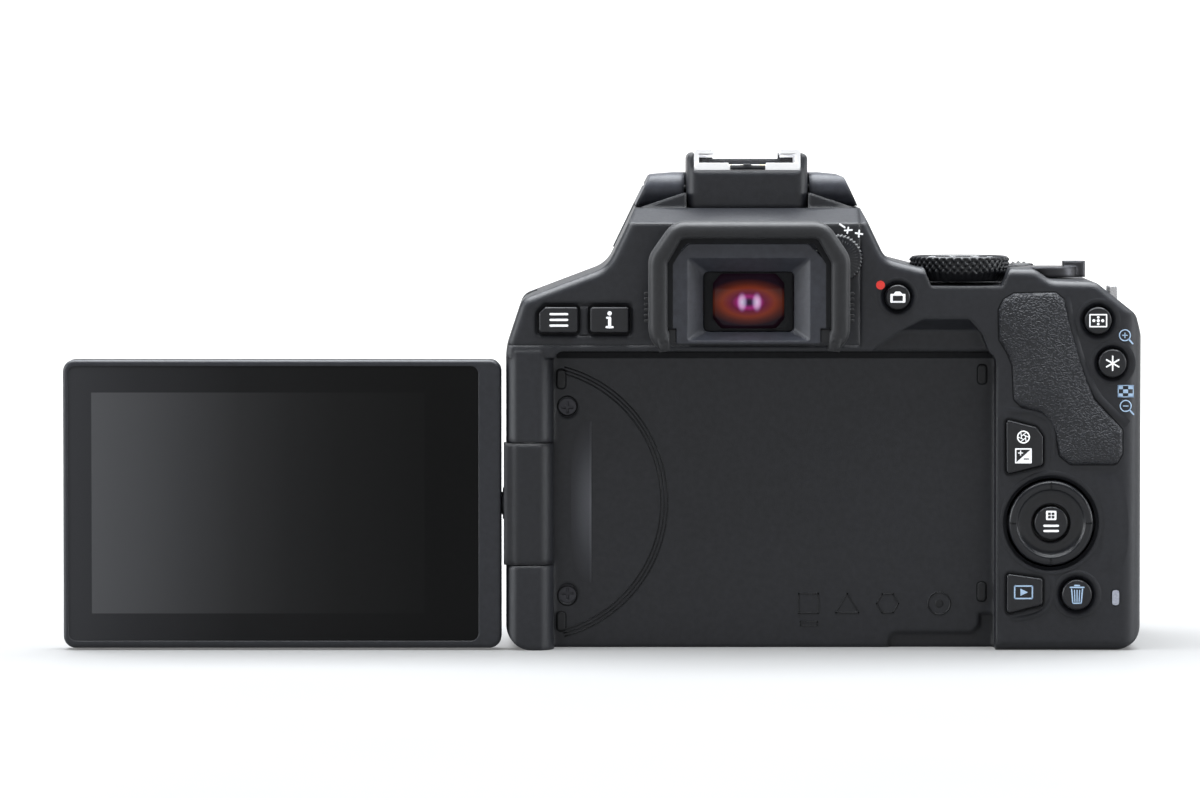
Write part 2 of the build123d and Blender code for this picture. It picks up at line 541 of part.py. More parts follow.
def make_screen():
    """The screen's two shells, its cover glass and the panel behind it."""
    middle_y = SCREEN_Y0 + 3.0
    shaft_bore = rod(2.25, (SCREEN_R + 1, HINGE_Y, TILT_Z), (SCREEN_R - 10.7, HINGE_Y, TILT_Z))
    boss = block(SCREEN_R - 12.5, SCREEN_R - 1.0, middle_y - 1.3, SCREEN_Y1 - 1.0, 24.7, 31.7)
    front_boss = block(SCREEN_R - 12.5, SCREEN_R - 1.0, SCREEN_Y0 + 1.9, middle_y, 24.7, 31.7)
    glass_face = shape([(-130.9, 1.8), (-130.9, 54.8), (-51.9, 54.8), (-51.9, 1.8)], 1.5)
    panel_face = shape([(-128.9, 4.6), (-128.9, 52.2), (-60.4, 52.2), (-60.4, 4.6)], 0.8)
    with BuildPart() as screen_bezel:
        add(slab(screen_outline(0, 2.3), SCREEN_Y0, middle_y))
        fillet(screen_bezel.faces().sort_by(Axis.Y)[0].edges(), 0.8)
        add(slab(screen_outline(1.3, 1.2), SCREEN_Y0 + 1.9, middle_y + 1), mode=Mode.SUBTRACT)
        add(slab(glass_face, SCREEN_Y0 - 1, SCREEN_Y0 + 1.1), mode=Mode.SUBTRACT)
        add(slab(panel_face, SCREEN_Y0, SCREEN_Y0 + 3), mode=Mode.SUBTRACT)
        add(front_boss)
        add(shaft_bore, mode=Mode.SUBTRACT)
    save(screen_bezel.part, "screen_bezel")
    with BuildPart() as screen_back:
        add(slab(screen_outline(0, 2.3), middle_y, SCREEN_Y1))
        fillet(screen_back.faces().sort_by(Axis.Y)[-1].edges(), 1.0)
        add(slab(screen_outline(1.3, 1.2), middle_y - 1, SCREEN_Y1 - 1.3), mode=Mode.SUBTRACT)
        add(boss - block(-200, 0, -40, middle_y, 0, 60))
        add(shaft_bore, mode=Mode.SUBTRACT)
    save(screen_back.part, "screen_back")
    with BuildPart() as screen_glass:
        with BuildSketch(rear_plane(SCREEN_Y0 + 1.1)):
            add(glass_face)
        extrude(amount=1.0)
    save(screen_glass.part, "screen_glass")
    with BuildPart() as lcd_panel:
        with BuildSketch(rear_plane(SCREEN_Y0 + 2.9)):
            add(panel_face)
        extrude(amount=1.8)
    save(lcd_panel.part, "lcd_panel")


# ---- viewfinder ------------------------------------------------------------------------------
EYE_FRAME = [
    ((-13.9, 59.4), 0.5),
    ((-13.9, 62.3), 0),
    ((-15.4, 62.3), 0),
    ((-15.4, 74.6), 1.0),
    ((-11.6, 78.5), 1.5),
    ((11.4, 78.5), 1.5),
    ((15.2, 74.6), 1.0),
    ((15.2, 62.3), 0),
    ((13.7, 62.3), 0),
    ((13.7, 59.4), 0.5),
]
EYECUP_FACE = [
    ((-19.3, 59.5), 1.2),
    ((-19.3, 76.6), 2.5),
    ((-14.4, 81.6), 2.5),
    ((0.2, 82.4), 12.0),
    ((14.8, 81.6), 2.5),
    ((19.8, 76.6), 2.5),
    ((19.8, 59.5), 1.2),
]
EYECUP_HOLLOW = [
    (-13.95, 50),
    (-13.95, 62.2),
    (-15.45, 62.2),
    ((-15.45, 74.65), 1.0),
    ((-11.6, 78.6), 1.5),
    ((11.4, 78.6), 1.5),
    ((15.25, 74.65), 1.0),
    (15.25, 62.2),
    (13.75, 62.2),
    (13.75, 50),
]


def make_viewfinder():
    """The eyepiece frame with its funnel, its window, and the rubber cup that slips over the frame."""
    funnel_outer = shape([(-11.8, 59.9), (-11.8, 75.8), (11.7, 75.8), (11.7, 59.9)], 0.4)
    funnel_inner = shape([(-8.7, 61.5), (-8.7, 73.1), (8.7, 73.1), (8.7, 61.5)], 1.0)
    with BuildPart() as eyepiece_frame:
        add(slab(shape(EYE_FRAME), FRAME_Y, HOUSING_Y))
        add(slab(shape([(-9.9, 60.4), (-9.9, 74.4), (9.9, 74.4), (9.9, 60.4)]), HOUSING_Y, INNER_Y + 2))
        with BuildSketch(rear_plane(FRAME_Y)):
            add(funnel_outer)
        with BuildSketch(rear_plane(FRAME_Y + 3.2)):
            add(funnel_inner)
        loft(mode=Mode.SUBTRACT)
        add(slab(funnel_inner, FRAME_Y + 3, 0), mode=Mode.SUBTRACT)
    save(eyepiece_frame.part, "eyepiece_frame")
    with BuildPart() as eyepiece_lens:
        with BuildSketch(rear_plane(INNER_Y - 0.2)):
            add(funnel_inner)
        extrude(amount=3.0)
    save(eyepiece_lens.part, "eyepiece_lens")
    with BuildPart() as eyecup:
        with BuildSketch(rear_plane(HOUSING_Y - 0.1)):
            add(shape(EYECUP_FACE))
            add(shape(EYECUP_HOLLOW), mode=Mode.SUBTRACT)
        extrude(amount=HOUSING_Y - 0.1 - EYECUP_Y)
        fillet(eyecup.faces().sort_by(Axis.Y)[0].edges(), 1.0)
    save(eyecup.part, "eyecup")
    with BuildPart() as diopter_knob:
        with BuildSketch(rear_plane(REAR_Y - 0.15)):
            with Locations((DIOPTER_X, DIOPTER_Z)):
                Circle(DIOPTER_R)
                with PolarLocations(DIOPTER_R, 28):
                    Circle(0.22, mode=Mode.SUBTRACT)
        extrude(amount=2.1)
        add(rod(1.5, (DIOPTER_X, REAR_Y - 0.2, DIOPTER_Z), (DIOPTER_X, -20, DIOPTER_Z)))
    save(diopter_knob.part, "diopter_knob")


# ---- accessory shoe and flash ----------------------------------------------------------------
def make_shoe():
    """The shoe's raised block with the flash's hinge pins, and the bent rails on it."""
    profile = [
        (SHOE_REAR_Y, HUMP_TOP),
        (SHOE_REAR_Y, 91.4),
        (SHOE_REAR_Y + 1.6, 95.6),
        (SHOE_FRONT_Y - 2.0, 95.6),
        (SHOE_FRONT_Y, 93.5),
        (SHOE_FRONT_Y + 0.6, 90.9),
        (13.6, 90.9),
        (13.6, HUMP_TOP),
    ]
    pins = rod(1.0, (-14.5, HOOD_Y, HOOD_Z), (14.5, HOOD_Y, HOOD_Z))
    with BuildPart() as shoe_block:
        add(side(shape(profile), -SHOE_X, SHOE_X))
        fillet(shoe_block.faces().sort_by(Axis.Y)[0].edges().filter_by(Axis.Z), 2.4)
        fillet(shoe_block.edges().filter_by(Axis.Y).group_by(Axis.Z)[-1], 1.2)
        add(block(-RAIL_LIP_X, RAIL_LIP_X, SHOE_FRONT_Y - 3, 20, 94.3, 100), mode=Mode.SUBTRACT)
        add(block(-RAIL_X, RAIL_X, -20, SHOE_FRONT_Y - 2.5, RAIL_Z, 100), mode=Mode.SUBTRACT)
        add(pins)
    save(shoe_block.part, "shoe_block")
    channel = [
        (-RAIL_X, RAIL_Z),
        (-RAIL_X, RAIL_TOP),
        (-RAIL_LIP_X, RAIL_TOP),
        (-RAIL_LIP_X, RAIL_TOP - RAIL_T),
        (-RAIL_IN_X, RAIL_TOP - RAIL_T),
        (-RAIL_IN_X, RAIL_Z + 0.9),
        (RAIL_IN_X, RAIL_Z + 0.9),
        (RAIL_IN_X, RAIL_TOP - RAIL_T),
        (RAIL_LIP_X, RAIL_TOP - RAIL_T),
        (RAIL_LIP_X, RAIL_TOP),
        (RAIL_X, RAIL_TOP),
        (RAIL_X, RAIL_Z),
    ]
    with BuildPart() as shoe_rails:
        with BuildSketch(rear_plane(SHOE_REAR_Y + 0.6)) as bent:
            with BuildLine():
                Polyline(*channel, close=True)
            make_face()
            fillet(bent.vertices().sort_by_distance((RAIL_X, RAIL_TOP))[0], 0.9)
            fillet(bent.vertices().sort_by_distance((-RAIL_X, RAIL_TOP))[0], 0.9)
        extrude(amount=-(SHOE_FRONT_Y - 2.5 - SHOE_REAR_Y - 0.6))
    save(shoe_rails.part, "shoe_rails")


HOOD_SIDE = [
    ((HOOD_Y - 3.1, HOOD_Z - 3.1), 3.05),
    ((HOOD_Y - 3.1, HOOD_Z + 3.15), 3.05),
    ((14.0, 91.6), 0),
    ((30.0, 91.0), 6.0),
    ((HOOD_FRONT_Y, 85.5), 4.0),
    ((HOOD_FRONT_Y - 0.6, 76.4), 1.0),
    ((33.4, 76.4), 0.5),
    ((33.4, HOOD_Z - 3.1), 0),
]


def make_flash():
    """The pop-up flash: a hood on two arms beside the shoe, and the window in its front."""
    window = shape([(-13.0, 79.0), (-13.0, 87.6), (13.0, 87.6), (13.0, 79.0)], 1.0)
    hood = side(shape(HOOD_SIDE), -40, 40) & slab(body_face, -20, 50)
    with BuildPart() as flash_hood:
        add(hood)
        add(block(-12.2, 12.2, -20, 14.0, 80, 100), mode=Mode.SUBTRACT)
        add(rod(1.05, (-14.7, HOOD_Y, HOOD_Z), (14.7, HOOD_Y, HOOD_Z)), mode=Mode.SUBTRACT)
        add(slab(window, 34.6, 50), mode=Mode.SUBTRACT)
        add(block(-20, 20, 16, 33.0, 86.6, 89.2), mode=Mode.SUBTRACT)
    save(flash_hood.part, "flash_hood")
    with BuildPart() as flash_window:
        with BuildSketch(rear_plane(36.0)):
            add(window)
        extrude(amount=1.4)
    save(flash_window.part, "flash_window")


# ---- dials and levers ------------------------------------------------------------------------
def make_dials():
    """The mode dial, the front wheel and the power lever, each on its own stem or spindle."""
    with BuildPart() as mode_dial:
        with BuildSketch(Plane.XY.offset(DIAL_Z0)):
            with Locations((DIAL_X, DIAL_Y)):
                Circle(DIAL_R - 1.3)
        with BuildSketch(Plane.XY.offset(DIAL_Z0 + 1.6)):
            with Locations((DIAL_X, DIAL_Y)):
                Circle(DIAL_R)
        loft()
        with BuildSketch(Plane.XY.offset(DIAL_Z0 + 1.6)):
            with Locations((DIAL_X, DIAL_Y)):
                Circle(DIAL_R)
                with PolarLocations(DIAL_R, 48):
                    Circle(0.3, mode=Mode.SUBTRACT)
        extrude(amount=DIAL_Z1 - DIAL_Z0 - 1.6)
        add(rod(3.0, (DIAL_X, DIAL_Y, 65.5), (DIAL_X, DIAL_Y, DIAL_Z0 + 0.2)))
    save(mode_dial.part, "mode_dial")
    with BuildPart() as main_dial:
        wheel_plane = Plane(origin=(WHEEL_X, WHEEL_Y0, WHEEL_Z), x_dir=(1, 0, 0), z_dir=(0, 1, 0))
        with BuildSketch(wheel_plane):
            Circle(WHEEL_R)
            with PolarLocations(WHEEL_R, 30):
                Circle(0.35, mode=Mode.SUBTRACT)
        extrude(amount=WHEEL_Y1 - WHEEL_Y0)
        add(rod(1.0, (WHEEL_X, WHEEL_Y0 - 1.3, WHEEL_Z), (WHEEL_X, WHEEL_Y1 + 1.3, WHEEL_Z)))
    save(main_dial.part, "main_dial")
    with BuildPart() as power_lever:
        with BuildSketch(Plane.XY.offset(LEVER_Z0)):
            with Locations((LEVER_X, LEVER_Y)):
                Circle(LEVER_R)
        extrude(amount=LEVER_Z1 - LEVER_Z0)
        with BuildSketch(Plane.XY.offset(LEVER_Z0)):
            with Locations((LEVER_X + 5.0, LEVER_Y)):
                RectangleRounded(4.4, 4.6, 0.8)
        extrude(amount=3.1)
        add(rod(2.0, (LEVER_X, LEVER_Y, 66.0), (LEVER_X, LEVER_Y, LEVER_Z0 + 0.2)))
    save(power_lever.part, "power_lever")


# ---- buttons ---------------------------------------------------------------------------------
def round_button(name, centre):
    """A round button on the back, with the flange that keeps it in the cover."""
    x, z, radius = centre
    with BuildPart() as button:
        with BuildSketch(rear_plane(INNER_Y)):
            with Locations((x, z)):
                Circle(radius)
        extrude(amount=INNER_Y - BUTTON_FACE_Y)
        fillet(button.faces().sort_by(Axis.Y)[0].edges(), 0.45)
        with BuildSketch(rear_plane(INNER_Y + 0.9)):
            with Locations((x, z)):
                Circle(radius + 0.8)
        extrude(amount=0.9)
    save(button.part, name)


def shaped_button(name, corners):
    """A button of any outline on the back, with its flange."""
    face = shape(corners, 0.6)
    with BuildPart() as button:
        with BuildSketch(rear_plane(INNER_Y)):
            add(face)
        extrude(amount=INNER_Y - BUTTON_FACE_Y)
        fillet(button.faces().sort_by(Axis.Y)[0].edges(), 0.4)
        with BuildSketch(rear_plane(INNER_Y + 0.9)):
            add(offset(face, amount=0.35, mode=Mode.PRIVATE))
        extrude(amount=0.9)
    save(button.part, name)


def make_top_buttons():
    """The shutter button in the grip's slope, and the sensitivity button behind the wheel."""
    with BuildPart() as shutter_button:
        with BuildSketch(shutter_plane(-1.9)):
            Circle(SHUTTER_R)
        extrude(amount=2.9)
        fillet(shutter_button.faces().sort_by(Axis.Z)[-1].edges(), 0.9)
        with BuildSketch(shutter_plane(-3.0)):
            Circle(SHUTTER_R + 0.8)
        extrude(amount=1.1)
    save(shutter_button.part, "shutter_button")
    top = 73.1
    with BuildPart() as iso_button:
        with BuildSketch(Plane.XY.offset(68.3)):
            with Locations((ISO_X, ISO_Y)):
                Circle(ISO_R)
        extrude(amount=top + 0.6 - 68.3)
        fillet(iso_button.faces().sort_by(Axis.Z)[-1].edges(), 0.4)
        with BuildSketch(Plane.XY.offset(67.2)):
            with Locations((ISO_X, ISO_Y)):
                Circle(ISO_R + 0.8)
        extrude(amount=1.1)
    save(iso_button.part, "iso_button")


def make_cross_key():
    """The four-way key, the ring that lets it rock both ways, and the button in its middle."""
    centre_plane = rear_plane(GIMBAL_Y + 0.7)
    with BuildPart() as cross_key:
        with BuildSketch(rear_plane(-21.9)):
            with Locations((CROSS_X, CROSS_Z)):
                Circle(CROSS_R)
                Circle(SET_R + 0.45, mode=Mode.SUBTRACT)
        extrude(amount=1.7)
        fillet(cross_key.faces().sort_by(Axis.Y)[0].edges(), 0.4)
        with BuildSketch(rear_plane(GIMBAL_Y + 0.9)):
            for dz in (-7.6, 7.6):
                with Locations((CROSS_X, CROSS_Z + dz)):
                    Rectangle(2.4, 1.0)
        extrude(amount=3.3)
        axis_hole = rod(0.55, (CROSS_X, GIMBAL_Y, CROSS_Z - 9), (CROSS_X, GIMBAL_Y, CROSS_Z + 9))
        add(axis_hole, mode=Mode.SUBTRACT)
    save(cross_key.part, "cross_key")
    with BuildPart() as cross_key_gimbal:
        with BuildSketch(centre_plane):
            with Locations((CROSS_X, CROSS_Z)):
                Circle(6.6)
                Circle(5.2, mode=Mode.SUBTRACT)
        extrude(amount=1.4)
        for dx, dz in ((1, 0), (-1, 0), (0, 1), (0, -1)):
            start = (CROSS_X + 6.2 * dx, GIMBAL_Y, CROSS_Z + 6.2 * dz)
            end = (CROSS_X + 8.0 * dx, GIMBAL_Y, CROSS_Z + 8.0 * dz)
            add(rod(0.5, start, end))
    save(cross_key_gimbal.part, "cross_key_gimbal")
    with BuildPart() as set_button:
        with BuildSketch(rear_plane(-18.6)):
            with Locations((CROSS_X, CROSS_Z)):
                Circle(SET_R)
        extrude(amount=5.0)
        fillet(set_button.faces().sort_by(Axis.Y)[0].edges(), 0.4)
        with BuildSketch(rear_plane(-17.9)):
            with Locations((CROSS_X, CROSS_Z)):
                Circle(4.2)
        extrude(amount=0.7)
    save(set_button.part, "set_button")


# ---- lens mount ------------------------------------------------------------------------------
def make_mount():
    """The bayonet ring with three gaps, its screws, its contacts, the release button and its pin."""
    ring_plane = Plane(origin=(0, FLANGE_Y, AXIS_Z), x_dir=(1, 0, 0), z_dir=(0, 1, 0))
    with BuildPart() as lens_mount_ring:
        with BuildSketch(Plane(origin=(0, SEAT_Y, AXIS_Z), x_dir=(1, 0, 0), z_dir=(0, 1, 0))):
            Circle(MOUNT_R)
            Circle(THROAT_R + 0.4, mode=Mode.SUBTRACT)
        extrude(amount=FLANGE_Y - SEAT_Y)
        for angle in (90, 210, 330):
            with BuildSketch(ring_plane):
                with BuildLine():
                    CenterArc((0, 0), 28.3, angle - 24, 48)
                    Line((0, 0), (28.3 * cos(radians(angle - 24)), 28.3 * sin(radians(angle - 24))))
                    Line((0, 0), (28.3 * cos(radians(angle + 24)), 28.3 * sin(radians(angle + 24))))
                make_face()
            extrude(amount=-(FLANGE_Y - SEAT_Y), mode=Mode.SUBTRACT)
        add(rod(1.3, (LOCK_PIN_X, 28, AXIS_Z), (LOCK_PIN_X, 40, AXIS_Z)), mode=Mode.SUBTRACT)
        with Locations(ring_plane):
            with PolarLocations(RING_SCREW_R, 4, start_angle=45):
                Hole(0.95)
                Hole(1.65, depth=1.2)
    save(lens_mount_ring.part, "lens_mount_ring")
    with BuildPart() as mount_screws:
        with BuildSketch(ring_plane.offset(-1.2)):
            with PolarLocations(RING_SCREW_R, 4, start_angle=45):
                Circle(1.6)
        extrude(amount=1.0)
        with BuildSketch(ring_plane.offset(-6.8)):
            with PolarLocations(RING_SCREW_R, 4, start_angle=45):
                Circle(0.9)
        extrude(amount=5.6)
        with BuildSketch(ring_plane.offset(-0.2)):
            with PolarLocations(RING_SCREW_R, 4, start_angle=45):
                Rectangle(1.8, 0.4)
                Rectangle(0.4, 1.8)
        extrude(amount=-0.5, mode=Mode.SUBTRACT)
    save(mount_screws.part, "mount_screws")
    with BuildPart() as lens_contacts:
        with BuildSketch(Plane(origin=(0, 27.6, AXIS_Z), x_dir=(1, 0, 0), z_dir=(0, 1, 0))):
            with BuildLine():
                CenterArc((0, 0), 28.8, -112, 44)
                CenterArc((0, 0), 22.8, -112, 44)
                for angle in (radians(-112), radians(-68)):
                    Line((22.8 * cos(angle), 22.8 * sin(angle)), (28.8 * cos(angle), 28.8 * sin(angle)))
            make_face()
        extrude(amount=PLATE_Y - 27.6)
    save(lens_contacts.part, "lens_contacts")
    with BuildPart() as lens_release_button:
        add(rod(RELEASE_R, (RELEASE_X, 14.6, RELEASE_Z), (RELEASE_X, 21.5, RELEASE_Z)))
        fillet(lens_release_button.faces().sort_by(Axis.Y)[-1].edges(), 0.8)
        add(rod(RELEASE_R + 0.7, (RELEASE_X, 13.9, RELEASE_Z), (RELEASE_X, 14.9, RELEASE_Z)))
    save(lens_release_button.part, "lens_release_button")
    with BuildPart() as lens_lock_pin:
        add(rod(1.2, (LOCK_PIN_X, 28.5, AXIS_Z), (LOCK_PIN_X, FLANGE_Y + 1.1, AXIS_Z)))
        chamfer(lens_lock_pin.faces().sort_by(Axis.Y)[-1].edges(), 0.3)
        add(rod(1.9, (LOCK_PIN_X, 28.3, AXIS_Z), (LOCK_PIN_X, 29.7, AXIS_Z)))
    save(lens_lock_pin.part, "lens_lock_pin")


# ---- mirror, shutter, sensor and electronics -------------------------------------------------
def make_optics():
    """The mirror chamber, the reflex mirror, the prism, the shutter and the sensor."""
    with BuildPart() as mirror_box:
        add(block(-18.0, 18.0, -2.8, 29.8, 18.5, 53.8))
        add(block(-16.5, 16.5, -10, 40, 20.0, 52.3), mode=Mode.SUBTRACT)
        add(block(-15.0, 15.0, 3.5, 28.0, 50, 60), mode=Mode.SUBTRACT)
        add(rod(0.85, (-19, MIRROR_Y, MIRROR_Z), (19, MIRROR_Y, MIRROR_Z)), mode=Mode.SUBTRACT)
        add(block(-10.5, 10.5, 27.3, 31, 10, 20.1), mode=Mode.SUBTRACT)
    save(mirror_box.part, "mirror_box")
    tilt_plane = Plane(origin=(0, MIRROR_Y, MIRROR_Z), x_dir=(1, 0, 0), z_dir=(0, 1, 1))
    with BuildPart() as reflex_mirror:
        with BuildSketch(tilt_plane.offset(-0.6)):
            with Locations((0, MIRROR_L / 2)):
                Rectangle(31.0, MIRROR_L)
        extrude(amount=1.2)
        add(rod(0.8, (-17.6, MIRROR_Y, MIRROR_Z), (17.6, MIRROR_Y, MIRROR_Z)))
    save(reflex_mirror.part, "reflex_mirror")
    prism_face = shape([(-16.5, 54.2), (-16.5, 68.0), (-6.0, 80.5), (6.0, 80.5), (16.5, 68.0), (16.5, 54.2)])
    prism_side = [
        (-9.0, 64.3),
        (-9.0, 73.0),
        (-2.0, 80.5),
        (9.0, 80.5),
        (14.8, 74.0),
        (14.8, 54.2),
        (-2.0, 65.0),
    ]
    prism = slab(prism_face, -10, 30) & side(shape(prism_side), -20, 20)
    with BuildPart() as pentamirror:
        add(prism)
    save(pentamirror.part, "pentamirror")
    with BuildPart() as shutter_frame:
        add(block(-19.0, 19.0, -5.6, -3.0, 9.6, 64.0))
        add(block(-14.2, 14.2, -5.2, -3.4, 10.6, 63.4), mode=Mode.SUBTRACT)
        add(block(-12.5, 12.5, -7, 0, GATE_Z0, GATE_Z1), mode=Mode.SUBTRACT)
    save(shutter_frame.part, "shutter_frame")
    front_z = (GATE_Z0 + GATE_Z1 - CURTAIN_H) / 2
    with BuildPart() as front_curtain:
        add(block(-14.0, 14.0, -4.2, -3.9, front_z, front_z + CURTAIN_H))
    save(front_curtain.part, "front_curtain")
    with BuildPart() as rear_curtain:
        add(block(-14.0, 14.0, -4.8, -4.5, 45.5, 45.5 + CURTAIN_H))
    save(rear_curtain.part, "rear_curtain")
    with BuildPart() as image_sensor:
        add(block(-17.0, 17.0, -10.6, -7.4, 24.0, 50.0))
        add(block(-13.0, 13.0, -7.5, SENSOR_Y, 28.2, 45.8))
    save(image_sensor.part, "image_sensor")


def make_electronics():
    """The main board, the battery, the memory card, the sockets and the card lamp's light guide."""
    with BuildPart() as main_board:
        add(block(-35.0, 47.0, -12.8, -11.6, 4.0, 56.0))
        add(block(-30, -20, -11.6, -9.8, 34, 46))
        add(block(24, 38, -11.6, -10.0, 22, 36))
        for z in (10.4, 46.5):
            add(rod(1.5, (-34.8, -15, z), (-34.8, -8, z)), mode=Mode.SUBTRACT)
    save(main_board.part, "main_board")
    with BuildPart() as battery:
        add(block(*BATTERY))
        fillet(battery.edges().filter_by(Axis.Z), 2.0)
    save(battery.part, "battery")
    with BuildPart() as memory_card:
        with BuildSketch(Plane(origin=(50.2, 14, 19), x_dir=(0, 1, 0), z_dir=(1, 0, 0))):
            Rectangle(24, 32)
        extrude(amount=2.1)
        chamfer(memory_card.edges().filter_by(Axis.X).sort_by(Axis.Z)[-1], 4.0)
    save(memory_card.part, "memory_card")
    x0 = LEFT_X + 1.7
    with BuildPart() as terminal_block:
        add(block(x0, -37.5, -4.0, 9.0, 18.0, 46.0))
        add(block(x0 - 1, -39.5, 1.0, 5.0, 20.0, 31.5), mode=Mode.SUBTRACT)
        add(block(x0 - 1, -39.5, 1.0, 4.2, 35.5, 43.5), mode=Mode.SUBTRACT)
    save(terminal_block.part, "terminal_block")
    with BuildPart() as card_lamp:
        with BuildSketch(rear_plane(INNER_Y)):
            with Locations((70.8, 10.2)):
                RectangleRounded(1.2, 2.6, 0.3)
        extrude(amount=INNER_Y - REAR_Y + 0.1)
        with BuildSketch(rear_plane(INNER_Y + 1.0)):
            with Locations((70.8, 10.2)):
                RectangleRounded(2.4, 3.8, 0.3)
        extrude(amount=1.0)
    save(card_lamp.part, "card_lamp")


# ---- rubbers, flaps, doors and fasteners -----------------------------------------------------
def make_rubbers():
    """The thumb rest's pad, and the grip's rubber sleeve."""
    with BuildPart() as thumb_rubber:
        with BuildSketch(rear_plane(REAR_Y)):
            add(shape(THUMB_FACE, 0.6))
        extrude(amount=2.0)
        fillet(thumb_rubber.faces().sort_by(Axis.Y)[0].edges(), 0.7)
    save(thumb_rubber.part, "thumb_rubber")
    outer = offset(shape(GRIP_PLAN), amount=1.2)
    core = plan(shape(GRIP_PLAN), -5, 100)
    sleeve_side = [(12.0, 4.0), (12.0, 56.5), (60.0, 56.5), (60.0, 4.0)]
    sleeve = plan(outer, 4.0, 56.0) & side(shape(sleeve_side), 30, 90)
    with BuildPart() as grip_rubber:
        add(sleeve)
        add(core, mode=Mode.SUBTRACT)
        add(block(30, 90, 0, FRONT_Y + 0.1, 0, 100), mode=Mode.SUBTRACT)
    save(grip_rubber.part, "grip_rubber")


def make_flaps():
    """The battery door and the two side flaps, each with its hinge pins."""
    door_x = DOOR[0] + 0.9
    with BuildPart() as battery_door:
        add(block(door_x, DOOR[1], DOOR[2], DOOR[3], 0, BASE_T))
        add(rod(0.9, (door_x, DOOR[2], 0.9), (door_x, DOOR[3], 0.9)))
        add(rod(0.5, (door_x, DOOR[2] - 1.0, 0.9), (door_x, DOOR[3] + 1.0, 0.9)))
    save(battery_door.part, "battery_door")
    port_x = LEFT_X + 0.7
    with BuildPart() as port_cover:
        add(block(LEFT_X, LEFT_X + 1.2, PORT[0], PORT[1] - 0.05, PORT[2], PORT[3]))
        add(rod(0.6, (port_x, PORT[1], PORT[2]), (port_x, PORT[1], PORT[3])))
        add(rod(0.5, (port_x, PORT[1], PORT[2] - 1.0), (port_x, PORT[1], PORT[3] + 1.0)))
    save(port_cover.part, "port_cover")
    dc_x = RIGHT_X - 0.7
    dc_y = DC[1] - 0.7
    with BuildPart() as dc_cover:
        add(block(RIGHT_X - 1.2, RIGHT_X, DC[0], dc_y, DC[2], DC[3]))
        add(rod(0.6, (dc_x, dc_y, DC[2]), (dc_x, dc_y, DC[3])))
        add(rod(0.5, (dc_x, dc_y, DC[2] - 1.0), (dc_x, dc_y, DC[3] + 1.0)))
    save(dc_cover.part, "dc_cover")


def make_fasteners():
    """The tripod socket, the strap lugs and the screws that hold the covers."""
    with BuildPart() as tripod_socket:
        with BuildSketch(Plane.XY):
            Circle(4.95)
        extrude(amount=6.0)
        with BuildSketch(Plane.XY.offset(BASE_T)):
            Circle(7.0)
        extrude(amount=1.2)
        with Locations((0, 0, 6.0)):
            Hole(2.6)
    save(tripod_socket.part, "tripod_socket")
    with BuildPart() as strap_lugs:
        for x, low in ((71.2, 64.5), (-43.0, 62.6)):
            add(block(x, x + 1.5, 0.5, 9.5, low - 2.5, low + 4.9))
            add(block(x - 1, x + 3, 2.2, 7.8, low + 0.9, low + 3.3), mode=Mode.SUBTRACT)
    save(strap_lugs.part, "strap_lugs")
    with BuildPart() as cover_screws:
        for z in (10.4, 46.5):
            add(rod(1.8, (-34.8, RECESS_Y + 0.1, z), (-34.8, RECESS_Y + 1.0, z)))
            add(rod(0.85, (-34.8, RECESS_Y + 0.5, z), (-34.8, -10.0, z)))
            add(block(-35.9, -33.7, -16, RECESS_Y + 0.6, z - 0.25, z + 0.25), mode=Mode.SUBTRACT)
            add(block(-35.05, -34.55, -16, RECESS_Y + 0.6, z - 1.1, z + 1.1), mode=Mode.SUBTRACT)
        for x, y in BASE_SCREWS:
            add(rod(1.6, (x, y, 0.1), (x, y, 1.0)))
            add(rod(0.85, (x, y, 0.5), (x, y, 6.0)))
            add(block(x - 1.1, x + 1.1, y - 0.25, y + 0.25, -1, 0.6), mode=Mode.SUBTRACT)
            add(block(x - 0.25, x + 0.25, y - 1.1, y + 1.1, -1, 0.6), mode=Mode.SUBTRACT)
    save(cover_screws.part, "cover_screws")


make_rear_cover()
make_front_cover()
make_top_cover()
make_base_plate()
make_screen_hinge_pin()
make_screen_arm()
make_screen()
make_viewfinder()
make_shoe()
make_flash()
make_dials()
round_button("live_view_button", LIVE_VIEW)
round_button("af_point_button", AF_POINT)
round_button("ae_lock_button", AE_LOCK)
round_button("erase_button", ERASE)
shaped_button("menu_button", MENU_FACE)
shaped_button("info_button", INFO_FACE)
shaped_button("exposure_button", EXPOSURE_FACE)
shaped_button("playback_button", PLAYBACK_FACE)
make_top_buttons()
make_cross_key()
make_mount()
make_optics()
make_electronics()
make_rubbers()
make_flaps()
make_fasteners()
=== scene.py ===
"""Looks of a compact reflex camera: materials, knurling, rubber, marks, light and viewpoint."""

import math

import bmesh
import bpy
from mathutils import Matrix, Vector


